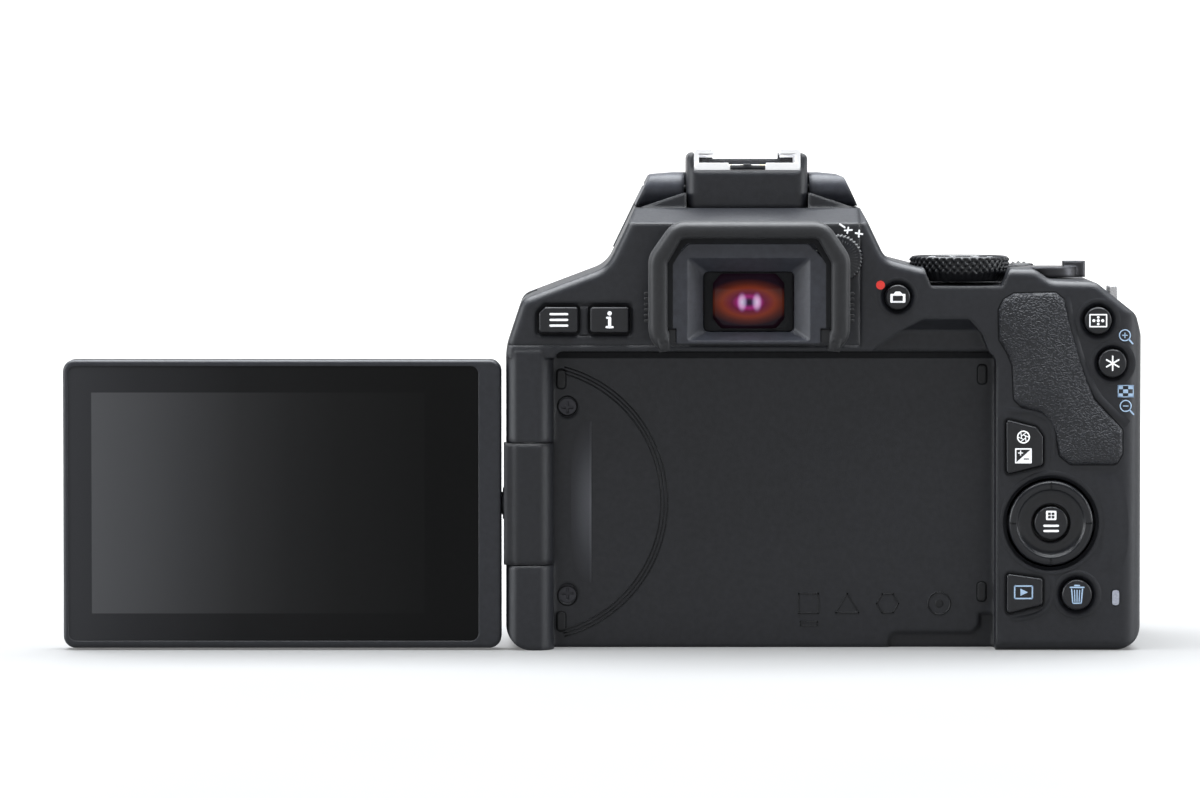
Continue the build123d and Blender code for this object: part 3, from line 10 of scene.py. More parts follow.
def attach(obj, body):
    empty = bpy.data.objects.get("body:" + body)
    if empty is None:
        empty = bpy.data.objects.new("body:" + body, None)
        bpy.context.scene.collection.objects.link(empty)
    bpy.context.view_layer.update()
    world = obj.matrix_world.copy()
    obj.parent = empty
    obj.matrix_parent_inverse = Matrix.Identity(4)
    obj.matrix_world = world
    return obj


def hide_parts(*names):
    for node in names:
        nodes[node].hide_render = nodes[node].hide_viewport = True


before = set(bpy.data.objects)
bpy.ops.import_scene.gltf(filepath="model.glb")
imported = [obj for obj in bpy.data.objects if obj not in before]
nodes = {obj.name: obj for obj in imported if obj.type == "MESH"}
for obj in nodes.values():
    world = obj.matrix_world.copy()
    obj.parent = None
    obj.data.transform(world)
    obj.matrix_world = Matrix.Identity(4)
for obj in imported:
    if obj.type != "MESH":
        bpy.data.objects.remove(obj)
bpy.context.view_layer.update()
MM = 0.001
TURN = 2 * math.pi


# ---- node material helpers -------------------------------------------------------------------
class Mat:
    """A principled material with short calls for the procedural nodes that feed it."""

    def __init__(self, name, color, rough=0.5, metal=0.0, **sockets):
        self.mat = bpy.data.materials.new(name)
        self.mat.use_nodes = True
        self.nt = self.mat.node_tree
        self.bsdf = self.nt.nodes["Principled BSDF"]
        self.bsdf.inputs["Base Color"].default_value = (*color, 1.0)
        self.bsdf.inputs["Roughness"].default_value = rough
        self.bsdf.inputs["Metallic"].default_value = metal
        for key, value in sockets.items():
            self.bsdf.inputs[key.replace("_", " ")].default_value = value
        self.coord = self.nt.nodes.new("ShaderNodeTexCoord")
        self.normal = None

    def node(self, kind, operation=None, **inputs):
        n = self.nt.nodes.new(kind)
        if operation:
            n.operation = operation
        for key, value in inputs.items():
            n.inputs[key.replace("_", " ")].default_value = value
        return n

    def link(self, a, b):
        self.nt.links.new(a, b)

    def obj(self, stretch=None):
        """Object coordinates in metres, scaled per axis where a stretch is given."""
        if stretch is None:
            return self.coord.outputs["Object"]
        m = self.node("ShaderNodeMapping", Scale=stretch)
        self.link(self.coord.outputs["Object"], m.inputs["Vector"])
        return m.outputs["Vector"]

    def noise(self, per_m, detail=2.0, stretch=None, rough=0.5):
        n = self.node("ShaderNodeTexNoise", Scale=per_m, Detail=detail, Roughness=rough)
        self.link(self.obj(stretch), n.inputs["Vector"])
        return n.outputs["Fac"]

    def cells(self, per_m):
        n = self.node("ShaderNodeTexVoronoi", Scale=per_m)
        self.link(self.obj(), n.inputs["Vector"])
        return n.outputs["Distance"]

    def remap(self, value, start=0.0, end=1.0, low=0.0, high=1.0):
        """A value between start and end, mapped to between low and high."""
        r = self.node("ShaderNodeMapRange", From_Min=start, From_Max=end, To_Min=low, To_Max=high)
        self.link(value, r.inputs["Value"])
        return r.outputs["Result"]

    def away(self, x, z, squash, radius):
        """0 at a point (x, z) in metres to 1 at an ellipse round it, whose height is 2 * radius / squash."""
        d = self.node("ShaderNodeVectorMath", "DISTANCE")
        self.link(self.obj((1.0, 0.0, squash)), d.inputs[0])
        d.inputs[1].default_value = (x, 0.0, z * squash)
        return self.remap(d.outputs["Value"], end=radius)

    def ramp(self, value, stops):
        r = self.node("ShaderNodeValToRGB")
        e = r.color_ramp.elements
        while len(e) < len(stops):
            e.new(0.5)
        for el, (pos, c) in zip(e, stops):
            el.position = pos
            el.color = (*c, 1.0)
        self.link(value, r.inputs["Fac"])
        return r.outputs["Color"]

    def to_normal(self, node):
        self.normal = node.outputs["Normal"]
        self.link(self.normal, self.bsdf.inputs["Normal"])

    def edges(self, mm):
        b = self.node("ShaderNodeBevel", Radius=mm * MM)
        b.samples = 6
        self.to_normal(b)

    def bump(self, height, mm):
        b = self.node("ShaderNodeBump", Strength=1.0, Distance=mm * MM)
        self.link(height, b.inputs["Height"])
        if self.normal is not None:
            self.link(self.normal, b.inputs["Normal"])
        self.to_normal(b)

    def to_rough(self, per_m, detail, low, high, stretch=None):
        """Gloss that wanders between two roughnesses."""
        rough = self.remap(self.noise(per_m, detail, stretch), low=low, high=high)
        self.link(rough, self.bsdf.inputs["Roughness"])

    def to_color(self, socket):
        self.link(socket, self.bsdf.inputs["Base Color"])


def grey(v, cool=0.16):
    """A slightly blue grey of value v."""
    return (v * (1 - cool), v * (1 - cool * 0.6), v * (1 + cool))


def moulded(name, value=0.012, rough=0.42, grain=0.02, scale=4200, edge=0.35, ior=1.4):
    """Spark-eroded black plastic: fine grain, slight mottling in colour and gloss."""
    m = Mat(name, grey(value), rough, IOR=ior)
    m.edges(edge)
    m.to_color(m.ramp(m.noise(900, 3), [(0.3, grey(value * 0.82)), (0.7, grey(value * 1.2))]))
    m.to_rough(1400, 3, rough - 0.06, rough + 0.08)
    m.bump(m.noise(scale, 3, rough=0.65), grain)
    return m.mat


def leather(name, value=0.015, cell=2700, depth=0.12, rough=0.44):
    """Rubber with a fine leather grain: small wrinkled pebbles, drawn out sideways and broken up by noise."""
    m = Mat(name, grey(value), rough, IOR=1.42)
    warp = m.node("ShaderNodeVectorMath", "MULTIPLY_ADD")
    m.link(m.noise(cell * 0.5, 3), warp.inputs[0])
    warp.inputs[1].default_value = (0.7 * MM,) * 3
    m.link(m.obj((0.74, 1.0, 1.0)), warp.inputs[2])
    v = m.node("ShaderNodeTexVoronoi", Scale=cell)
    v.feature = "SMOOTH_F1"
    v.inputs["Smoothness"].default_value = 0.6
    m.link(warp.outputs[0], v.inputs["Vector"])
    pebble = m.remap(v.outputs["Distance"], 0.75, 0.1)
    pebble.node.interpolation_type = "SMOOTHERSTEP"
    m.to_color(m.ramp(pebble, [(0.0, grey(value * 0.6)), (0.8, grey(value * 1.2))]))
    m.to_rough(2200, 2, rough - 0.08, rough + 0.1)
    m.bump(pebble, depth)
    m.bump(m.noise(6000, 2), 0.012)
    return m.mat


def metal(name, color, rough=0.25, brush=(1, 1, 1), edge=0.15, metallic=1.0):
    """Worked metal with fine brushing in one direction and faint scratches."""
    m = Mat(name, color, rough, metallic)
    m.edges(edge)
    m.to_rough(3000, 4, rough - 0.1, rough + 0.14, brush)
    m.bump(m.noise(5200, 3, brush), 0.006)
    return m.mat


def rubber(name, value, rough, grain=0.018):
    """Moulded soft rubber: matt, faintly speckled, with a dusty sheen."""
    m = Mat(name, grey(value), rough, IOR=1.4, Sheen_Weight=0.06, Sheen_Roughness=0.5)
    m.edges(0.3)
    m.to_color(m.ramp(m.noise(1500, 4), [(0.3, grey(value * 0.8, 0.1)), (0.75, grey(value * 1.25, 0.1))]))
    m.to_rough(900, 3, rough - 0.05, rough + 0.1)
    m.bump(m.noise(3600, 3), grain)
    return m.mat


def ink(name, color, rough=0.5, glow=0.0):
    """Printed marking: slightly uneven ink; a glow, where one is given, paints light into it."""
    m = Mat(name, color, rough, Emission_Color=(*color, 1.0), Emission_Strength=glow)
    dark = tuple(c * 0.88 for c in color)
    m.to_color(m.ramp(m.noise(5000, 2), [(0.35, dark), (0.65, color)]))
    return m.mat


def glassy(name, color, rough=0.03, trans=0.9):
    """Clear glass or plastic."""
    m = Mat(name, color, rough, IOR=1.52, Transmission_Weight=trans, Coat_Weight=0.3)
    m.to_rough(700, 2, rough, rough + 0.03)
    return m.mat


def speckled(name, low, high, rough, per_m, stops=(0.3, 0.7), **sockets):
    """A plain surface whose colour wanders between two tones."""
    m = Mat(name, low, rough, **sockets)
    m.to_color(m.ramp(m.noise(per_m, 2), [(stops[0], low), (stops[1], high)]))
    return m.mat


# ---- mesh helpers, in millimetres ------------------------------------------------------------
def new_object(name, bm, mat, body, smooth=True):
    mesh = bpy.data.meshes.new(name)
    bmesh.ops.recalc_face_normals(bm, faces=bm.faces)
    bm.to_mesh(mesh)
    bm.free()
    mesh.transform(Matrix.Scale(MM, 4))
    mesh.materials.append(mat)
    for p in mesh.polygons:
        p.use_smooth = smooth
    obj = bpy.data.objects.new(name, mesh)
    bpy.context.scene.collection.objects.link(obj)
    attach(obj, body)
    return obj


def extrude_loop(bm, loop, y0, y1):
    """A closed loop of (x, z) filled between depths y0 and y1."""
    front = [bm.verts.new((x, y0, z)) for x, z in loop]
    back = [bm.verts.new((x, y1, z)) for x, z in loop]
    n = len(loop)
    bm.faces.new(front)
    bm.faces.new(back[::-1])
    for i in range(n):
        bm.faces.new((front[i], back[i], back[(i + 1) % n], front[(i + 1) % n]))


def raise_loop(bm, loop, z0, z1):
    """A closed loop of (x, y) raised from height z0 to z1, open below."""
    low = [bm.verts.new((x, y, z0)) for x, y in loop]
    high = [bm.verts.new((x, y, z1)) for x, y in loop]
    bm.faces.new(high)
    for i in range(len(loop)):
        bm.faces.new((low[i - 1], low[i], high[i], high[i - 1]))


def rings(bm, loops, close=True, caps=(False, False), joined=False):
    """Faces between successive loops of equal counts, and from the last to the first if joined."""
    rows = [[bm.verts.new(p) for p in loop] for loop in loops]
    if joined:
        rows.append(rows[0])
    for a, b in zip(rows, rows[1:]):
        n = len(a)
        for i in range(n if close else n - 1):
            j = (i + 1) % n
            bm.faces.new((a[i], a[j], b[j], b[i]))
    if caps[0]:
        bm.faces.new(rows[0][::-1])
    if caps[1]:
        bm.faces.new(rows[-1])


def circle(cx, cz, r, n=48):
    return [(cx + r * math.cos(TURN * i / n), cz + r * math.sin(TURN * i / n)) for i in range(n)]


def rounded(points, r, n):
    """A polygon of (x, z) points with each corner rounded in n steps."""
    out = []
    count = len(points)
    for i, p in enumerate(points):
        a, b, c = Vector(points[i - 1]), Vector(p), Vector(points[(i + 1) % count])
        u, v = (a - b).normalized(), (c - b).normalized()
        half = u.angle(v, math.pi) / 2
        cut = min(r / max(math.tan(half), 1e-3), (a - b).length * 0.48, (c - b).length * 0.48)
        p0, p1 = b + u * cut, b + v * cut
        for k in range(n + 1):
            t = k / n
            q = p0 * (1 - t) ** 2 + b * 2 * t * (1 - t) + p1 * t**2
            out.append((q.x, q.y))
    return out


def box(x0, z0, x1, z1, r, n):
    """A rectangle with rounded corners."""
    return rounded([(x0, z0), (x1, z0), (x1, z1), (x0, z1)], r, n)


def stroke(a, b, w):
    """A stroke from a to b of width w with round ends."""
    along = math.atan2(b[1] - a[1], b[0] - a[0])
    pts = []
    for end, start in ((a, math.pi / 2), (b, -math.pi / 2)):
        for k in range(7):
            t = along + start + k * math.pi / 6
            pts.append((end[0] + w / 2 * math.cos(t), end[1] + w / 2 * math.sin(t)))
    return pts


def frame_strokes(x, z, w):
    """Four strokes round a rectangle that reaches x and z from its middle."""
    corners = (((-x, z), (x, z)), ((-x, -z), (x, -z)), ((-x, -z), (-x, z)), ((x, -z), (x, z)))
    return [stroke(a, b, w) for a, b in corners]


def closed_stroke(points, w):
    """Strokes from corner to corner of a polygon."""
    return [stroke(points[k - 1], points[k], w) for k in range(len(points))]


def icon(name, loops, y, mat, body, thick=0.05, at=(0.0, 0.0)):
    """Printed marks: each loop of (x, z) becomes a thin raised patch at depth y, facing the back."""
    bm = bmesh.new()
    for loop in loops:
        extrude_loop(bm, [(at[0] + x, at[1] + z) for x, z in loop], y - thick, y)
    bmesh.ops.triangulate(bm, faces=[f for f in bm.faces if len(f.verts) > 4])
    return new_object(name, bm, mat, body, smooth=False)


def annulus(name, centre, radii, y, mat, body, thick=0.05, n=64, span=(0.0, 360.0)):
    """A printed or raised ring, or the part of one that spans two angles in degrees."""
    bm = bmesh.new()
    full = span[1] - span[0] == 360.0
    loops = []
    for i in range(n if full else n + 1):
        a = math.radians(span[0] + (span[1] - span[0]) * i / n)
        corners = ((radii[0], 0.0), (radii[0], thick), (radii[1], thick), (radii[1], 0.0))
        loops.append([(centre[0] + r * math.cos(a), y - d, centre[1] + r * math.sin(a)) for r, d in corners])
    rings(bm, loops, caps=(not full, not full), joined=full)
    return new_object(name, bm, mat, body)


def lathe(name, profile, centre, axis, mat, body, n, wave):
    """A turned piece: profile of (radius, place along the axis), its rim cut by wave(angle, place)."""
    bm = bmesh.new()
    loops = []
    for r, h in profile:
        loop = []
        for i in range(n):
            a = TURN * i / n
            cut = r + wave(a, h)
            u, v = centre[0] + cut * math.cos(a), centre[1] + cut * math.sin(a)
            loop.append((u, v, h) if axis == "Z" else (u, h, v))
        loops.append(loop)
    rings(bm, loops, caps=(True, True))
    return new_object(name, bm, mat, body)


# ---- places, in millimetres: depths of faces, and middles of keys as (x, z) -------------------
REAR = -23.0
KEY_FACE = -23.9
FLOOR = -15.3
EYE_SEAT = -25.6
MENU_KEY = (-36.4, 63.75)
INFO_KEY = (-26.65, 63.75)
LIVE_VIEW_KEY = (28.7, 68.0)
POINT_KEY = (67.2, 63.6)
LOCK_KEY = (70.0, 55.4)
EXPOSURE_KEY = (52.9, 37.6)
PLAYBACK_KEY = (53.0, 11.3)
ERASE_KEY = (63.3, 10.9)
CROSS_KEY = (58.3, 24.6)

# ---- materials -------------------------------------------------------------------------------
plastic = moulded("body_black", 0.0115, 0.42, edge=1.2)
plastic_top = moulded("cover_black", 0.011, 0.4, grain=0.024, edge=1.3)
hood_black = moulded("hood_black", 0.03, 0.46, grain=0.024, edge=1.2)
hinge_black = moulded("hinge_black", 0.009, 0.42, edge=1.8)
plate_black = moulded("recess_black", 0.006, 0.5, grain=0.016, scale=5200)
button_black = moulded("button_black", 0.007, 0.3, grain=0.006, edge=0.25)
frame_grey = moulded("frame_grey", 0.027, 0.38, grain=0.022)
inner_black = moulded("inner_black", 0.004, 0.7, ior=1.3)
eye_rubber = rubber("eyecup_rubber", 0.009, 0.5)
flap_rubber = rubber("flap_rubber", 0.014, 0.5)
grain_rubber = leather("thumb_grain")
grip_grain = leather("grip_grain")
steel = metal("polished_steel", (0.5, 0.5, 0.51), 0.26, (1, 14, 1))
rail_steel = metal("rail_steel", (0.86, 0.86, 0.87), 0.3, (1, 20, 1), metallic=0.45)
dark_steel = metal("dark_screw", (0.045, 0.045, 0.05), 0.42)
satin_alu = metal("lever_satin", (0.05, 0.05, 0.054), 0.34, (6, 6, 1), edge=0.9)
gold = metal("contact_gold", (0.62, 0.44, 0.17), 0.3)
# the white and blue inks glow a little: painted light over the print
white_ink_painted_glow = ink("white_ink_painted_glow", (0.84, 0.85, 0.87), glow=0.3)
blue_ink_painted_glow = ink("blue_ink_painted_glow", (0.33, 0.46, 0.62), glow=0.16)
red_ink = ink("red_ink", (0.75, 0.03, 0.02), 0.4)
bezel_black = moulded("bezel_black", 0.014, 0.42, grain=0.012, edge=0.4)
screen_shell = moulded("screen_back_black", 0.012, 0.44)
panel_dark = moulded("panel_dark", 0.01, 0.25, grain=0.001)
prism_glass = glassy("prism_glass", (0.3, 0.34, 0.38))
flash_lens = glassy("flash_lens", (0.82, 0.84, 0.86), 0.2, trans=0.5)
lamp_lens = speckled("lamp_lens", grey(0.3, 0.1), grey(0.4, 0.1), 0.2, 2500)
sensor_filter = speckled("sensor_filter", (0.03, 0.07, 0.08), (0.06, 0.12, 0.11), 0.08, 200, Coat_Weight=1.0)


def silvered():
    m = Mat("silvered", (0.9, 0.9, 0.92), 0.03, 1.0)
    m.to_rough(400, 2, 0.02, 0.05)
    return m.mat


def board_green():
    m = Mat("board_green", (0.02, 0.1, 0.05), 0.35)
    m.to_color(m.ramp(m.cells(400), [(0.2, (0.015, 0.08, 0.04)), (0.6, (0.03, 0.14, 0.07))]))
    return m.mat


def cover_glass():
    """Glossy cover: a dark border round the display area, both carrying a painted reflection that fades from
    grey to black towards the hinge.
    """
    m = Mat("cover_glass", (0.01, 0.01, 0.01), 0.08, IOR=1.16)
    glass_x = (-131 * MM, -52 * MM)
    painted_reflection_area = (("X", -126.4 * MM, -62.3 * MM), ("Z", 7.1 * MM, 49.7 * MM))
    # painted reflection: these tones go from grey on the side away from the hinge to black towards it
    painted_reflection_fade = ((0.0, 0.07, 0.03), (0.17, 0.05, 0.03), (0.29, 0.034, 0.03), (0.42, 0.02, 0.02),
                (0.54, 0.0125, 0.02), (0.66, 0.0085, 0.01), (0.85, 0.0055, 0.01))
    border_painted_reflection_fade = ((0.0, 0.031, 0.05), (0.17, 0.02, 0.05), (0.42, 0.009, 0.03),
                   (0.66, 0.006, 0.02), (0.9, 0.004, 0.01))
    sep = m.node("ShaderNodeSeparateXYZ")
    m.link(m.obj(), sep.inputs[0])
    across = m.remap(sep.outputs["X"], *glass_x)
    painted_reflection_tone = m.ramp(across, [(at, grey(v, cool)) for at, v, cool in painted_reflection_fade])
    border = m.ramp(across, [(at, grey(v, cool)) for at, v, cool in border_painted_reflection_fade])
    inside = None
    for out, low, high in painted_reflection_area:
        for op, edge in (("GREATER_THAN", low), ("LESS_THAN", high)):
            test = m.node("ShaderNodeMath", op)
            test.inputs[1].default_value = edge
            m.link(sep.outputs[out], test.inputs[0])
            if inside is None:
                inside = test.outputs[0]
                continue
            both = m.node("ShaderNodeMath", "MULTIPLY")
            m.link(inside, both.inputs[0])
            m.link(test.outputs[0], both.inputs[1])
            inside = both.outputs[0]
    mix = m.node("ShaderNodeMix")
    mix.data_type = "RGBA"
    m.link(inside, mix.inputs["Factor"])
    m.link(border, mix.inputs["A"])
    m.link(painted_reflection_tone, mix.inputs["B"])
    m.to_color(mix.outputs["Result"])
    m.to_rough(300, 2, 0.1, 0.16)
    return m.mat


assign = {
    plastic: ["rear_cover", "front_cover", "base_plate", "battery_door"],
    hood_black: ["flash_hood"],
    hinge_black: ["screen_arm"],
    plastic_top: ["top_cover", "shoe_block"],
    button_black: [
        "menu_button", "info_button", "live_view_button", "af_point_button", "ae_lock_button",
        "exposure_button", "playback_button", "erase_button", "set_button", "iso_button",
        "lens_release_button", "shutter_button", "diopter_knob", "main_dial", "mode_dial", "cross_key",
    ],
    frame_grey: ["eyepiece_frame"],
    inner_black: [
        "mirror_box", "cross_key_gimbal", "terminal_block", "memory_card", "shutter_frame",
        "front_curtain", "rear_curtain", "battery",
    ],
    eye_rubber: ["eyecup"],
    flap_rubber: ["port_cover", "dc_cover"],
    grain_rubber: ["thumb_rubber"],
    grip_grain: ["grip_rubber"],
    steel: [
        "lens_mount_ring", "mount_screws", "tripod_socket", "strap_lugs", "screen_hinge_pin", "lens_lock_pin",
    ],
    rail_steel: ["shoe_rails"],
    dark_steel: ["cover_screws"],
    satin_alu: ["power_lever"],
    gold: ["lens_contacts"],
    bezel_black: ["screen_bezel"],
    screen_shell: ["screen_back"],
    cover_glass(): ["screen_glass"],
    panel_dark: ["lcd_panel"],
    prism_glass: ["pentamirror"],
    flash_lens: ["flash_window"],
    lamp_lens: ["card_lamp"],
    silvered(): ["reflex_mirror"],
    sensor_filter: ["image_sensor"],
    board_green(): ["main_board"],
}


def paint(node, mat):
    data = nodes[node].data
    if not data.materials:
        data.materials.append(mat)
    for i in range(len(data.materials)):
        data.materials[i] = mat


for mat, names in assign.items():
    for n in names:
        paint(n, mat)


# ---- card lamp: a small oblong window --------------------------------------------------------
def lamp_window():
    pill = box(70.13, 8.75, 71.47, 11.65, 0.66, 6)
    lamp_pill = icon("card_lamp_window", [pill], REAR - 0.02, lamp_lens, "camera_body", thick=0.07)
    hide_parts("card_lamp")


lamp_window()


# ---- eyecup: a soft band swept over the eyepiece frame ---------------------------------------
def eyecup_band():
    """The band, a dark strip of painted shade between it and the frame, and the hooks and ribs at its foot.
    """
    left, right, foot, top = -17.35, 17.5, 59.55, 81.0
    arch = [(left, foot), (left, 75.4), (-13.6, top), (13.9, top), (right, 75.4), (right, foot)]
    path = [p for p in rounded(arch, 3.0, 8) if p[1] > foot + 0.05]
    path = [(left, foot)] + path + [(right, foot)]
    band, painted_shade_loops = [], []
    for i, p in enumerate(path):
        a = Vector(path[max(i - 1, 0)])
        b = Vector(path[min(i + 1, len(path) - 1)])
        t = (b - a).normalized()
        out = Vector((-t.y, t.x))
        rise = max(0.0, min(1.0, (p[1] - 77.0) / 3.0))
        w_out = 1.9 - 0.1 * rise
        w_in = 1.85 - 0.3 * rise
        section = (
            (-w_in, EYE_SEAT), (-w_in, -28.9), (-w_in + 0.12, -30.1), (-w_in + 0.5, -30.75),
            (-0.3, -30.95), (w_out - 1.1, -30.85), (w_out - 0.45, -30.4), (w_out - 0.1, -29.5),
            (w_out, -28.0), (w_out, EYE_SEAT),
        )
        band.append([(p[0] + out.x * s, y, p[1] + out.y * s) for s, y in section])
        # painted shade: a near-black strip where the band's inner side lies in shade, in front of the frame's
        # edge
        strip = ((0.3 - w_in, -29.3), (0.3 - w_in, -29.57), (-0.95 - w_in, -29.57), (-0.95 - w_in, -29.3))
        painted_shade_loops.append([(p[0] + out.x * s, y, max(p[1] + out.y * s, 62.4)) for s, y in strip])
    bm = bmesh.new()
    rings(bm, band, caps=(True, True))
    obj = new_object("eyecup_band", bm, eye_rubber, "camera_body")
    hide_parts("eyecup")
    bm = bmesh.new()
    rings(bm, painted_shade_loops[1:-1], caps=(True, True))
    new_object("eyecup_painted_shade", bm, inner_black, "camera_body", smooth=False)
    bm = bmesh.new()
    for x0, x1 in ((-15.7, -13.98), (13.78, 15.6)):
        extrude_loop(bm, box(x0, foot, x1, 62.15, 0.25, 3), -29.3, EYE_SEAT)
    for x in (-19.15, 19.35):
        for k in range(6):
            z = 63.6 + 1.05 * k
            extrude_loop(bm, box(x - 0.9, z - 0.3, x + 0.9, z + 0.3, 0.25, 3), -26.9, EYE_SEAT)
    new_object("eyecup_hooks", bm, eye_rubber, "camera_body", smooth=False)


eyecup_band()


# ---- thumb rest: a crowned pad with rounded rim ----------------------------------------------
THUMB = [
    (51.0, 68.8), (59.1, 69.0), (60.7, 67.6), (62.3, 61.5), (64.0, 55.6), (65.5, 51.2), (66.6, 48.4),
    (69.2, 45.6), (72.0, 42.6), (72.0, 37.9), (70.8, 35.9), (62.0, 35.9), (59.9, 37.6), (59.2, 41.6),
    (58.2, 44.2), (56.2, 46.1), (52.6, 47.0), (51.1, 48.4), (50.8, 54.9), (49.8, 57.4), (48.2, 60.0),
    (48.1, 65.7), (49.0, 67.6),
]


def edge_distance(p, poly):
    """Distance from a point to a polygon's edge, in the (x, z) plane."""
    best = 1e9
    for i in range(len(poly)):
        a, b = Vector(poly[i - 1]), Vector(poly[i])
        t = max(0.0, min(1.0, (Vector(p) - a).dot(b - a) / (b - a).length_squared))
        best = min(best, (Vector(p) - a.lerp(b, t)).length)
    return best


def cut_across(bm, axis, start, step, count):
    """Cuts a mesh by evenly spaced planes across an axis."""
    for i in range(1, count + 1):
        place, normal = [0, 0, 0], [0, 0, 0]
        place[axis] = start + step * i
        normal[axis] = 1
        geom = list(bm.verts) + list(bm.edges) + list(bm.faces)
        bmesh.ops.bisect_plane(bm, geom=geom, plane_co=place, plane_no=normal)


def thumb_pad():
    """A fine grid cut to the pad's outline, its surface crowned and rolled over at the rim."""
    seat, step, rim, crown_reach = -22.95, 0.6, 0.8, 9.0
    outline = rounded(THUMB, 1.0, 4)
    bm = bmesh.new()
    extrude_loop(bm, outline, REAR - 1.0, seat)
    cut_across(bm, 0, 48.0, step, 40)
    cut_across(bm, 2, 35.9, step, 55)
    for v in bm.verts:
        if v.co.y > REAR - 0.5:
            continue
        d = edge_distance((v.co.x, v.co.z), outline)
        roll = min(d / rim, 1.0)
        crown = math.sin(min(d / crown_reach, 1.0) * math.pi / 2)
        v.co.y = REAR - 0.12 - 0.4 * math.sqrt(max(0.0, 1 - (1 - roll) ** 2)) - 0.7 * crown
    obj = new_object("thumb_pad", bm, grain_rubber, "camera_body")
    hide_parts("thumb_rubber")


thumb_pad()


# ---- dials -----------------------------------------------------------------------------------
def zigzag(a, teeth):
    """Runs from 1 to 0 and back once for each tooth round the circle."""
    return abs((a * teeth / TURN) % 1.0 - 0.5) * 2


def diamond(a, h, teeth, pitch, depth):
    """Cross-cut knurling: two sets of slanting grooves that leave small pyramids."""
    u = (a * teeth / TURN + h / pitch) % 1.0
    v = (a * teeth / TURN - h / pitch) % 1.0
    return depth * (min(abs(u - 0.5) * 2, abs(v - 0.5) * 2) - 0.6)


def mode_dial():
    """A knurled rim over a toothed skirt, with plain marks on its top."""
    centre, top = (41.3, -8.5), 75.4

    def wave(a, h):
        if 72.7 <= h <= 75.2:
            return diamond(a, h, 40, 1.5, 0.6)
        if h < 72.6:
            return 0.45 * max(0.0, min(1.0, (h - 71.0) / 1.3)) * (zigzag(a, 44) - 0.5)
        return 0.0

    profile = [(0.01, 70.85), (8.3, 70.85), (8.5, 71.1), (8.8, 71.6), (9.15, 72.1), (9.35, 72.55)]
    profile += [(9.5, 72.7)] + [(9.55, 72.7 + 0.25 * i) for i in range(1, 11)]
    profile += [(9.45, 75.35), (9.2, 75.6), (8.9, 75.68), (8.6, 75.62), (8.4, top), (0.01, top)]
    obj = lathe("mode_dial_knurled", profile, centre, "Z", button_black, "mode_dial", 528, wave)
    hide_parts("mode_dial")
    triangle = [(-0.75, -0.6), (0.75, -0.6), (0.0, 0.8)]
    shapes = (circle(0, 0, 0.75, 20), box(-0.7, -0.7, 0.7, 0.7, 0.2, 3), triangle)
    bm = bmesh.new()
    for i in range(9):
        a = TURN * i / 9 + 0.35
        ca, sa = math.cos(a), math.sin(a)
        loop = []
        for x, y in shapes[i % 3]:
            out, side = 6.6 + y, x
            loop.append((centre[0] + out * ca + side * sa, centre[1] + out * sa - side * ca))
        raise_loop(bm, loop, top - 0.02, top + 0.04)
    new_object("mode_dial_marks", bm, white_ink_painted_glow, "mode_dial", smooth=False)


mode_dial()


def main_dial():
    """The front wheel: straight-cut teeth with a chamfer each side."""

    def wave(a, h):
        depth = 0.5 if 16.6 <= h <= 20.4 else 0.15
        return depth * (zigzag(a, 36) - 0.85)

    profile = [(0.01, 16.02), (5.6, 16.02), (6.1, 16.15), (6.45, 16.6), (6.45, 18.5)]
    profile += [(6.45, 20.4), (6.1, 20.85), (5.6, 20.98), (0.01, 20.98)]
    obj = lathe("main_dial_wheel", profile, (54.5, 67.4), "Y", button_black, "main_dial", 360, wave)
    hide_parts("main_dial")


main_dial()


def diopter():
    """The small toothed wheel beside the eyecup."""

    def wave(a, h):
        return 0.28 * (zigzag(a, 40) - 0.9) if h > -25.1 else 0.0

    profile = [(0.01, -25.22), (3.4, -25.22), (3.7, -25.05), (4.2, -25.02)]
    profile += [(4.75, -24.7), (4.78, -24.0), (4.75, -23.25), (0.01, -23.25)]
    obj = lathe("diopter_wheel", profile, (17.2, 75.5), "Y", button_black, "diopter_knob", 320, wave)
    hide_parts("diopter_knob")


diopter()


# ---- four-way key ----------------------------------------------------------------------------
def four_way_key():
    """A dished ring that rocks four ways, with the marks on it and on the button in its middle."""
    profile = [
        (3.7, -21.95), (8.1, -21.95), (8.2, -22.4), (8.15, -23.0), (7.9, -23.4), (7.4, -23.55),
        (6.9, -23.56), (6.62, -23.5), (6.45, -23.3), (6.2, -22.95), (5.4, -22.75), (4.4, -22.72),
        (3.85, -22.85), (3.7, -22.7),
    ]
    bm = bmesh.new()
    rings(bm, [[(x, y, z) for x, z in circle(*CROSS_KEY, r, 96)] for r, y in profile], joined=True)
    obj = new_object("four_way_key", bm, button_black, "cross_key")
    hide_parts("cross_key")
    arms = ((1, 0), (-1, 0), (0, 1), (0, -1))
    ticks = [stroke((6.85 * x, 6.85 * z), (7.75 * x, 7.75 * z), 0.42) for x, z in arms]
    icon("key_ticks", ticks, -23.53, inner_black, "cross_key", thick=0.07, at=CROSS_KEY)
    square = [box(-1.0, 0.6, 1.0, 2.4, 0.25, 3)]
    icon("menu_square", square, -23.6, white_ink_painted_glow, "set_button", at=CROSS_KEY)
    dots = [box(x, z, x + 0.54, z + 0.47, 0.08, 2) for z in (0.95, 1.58) for x in (-0.62, 0.08)]
    icon("menu_square_dots", dots, -23.65, button_black, "set_button", at=CROSS_KEY)
    bars = [stroke((-1.3, z), (1.3, z), 0.42) for z in (-0.5, -1.5)]
    icon("confirm_bars", bars, -23.6, white_ink_painted_glow, "set_button", at=CROSS_KEY)


four_way_key()


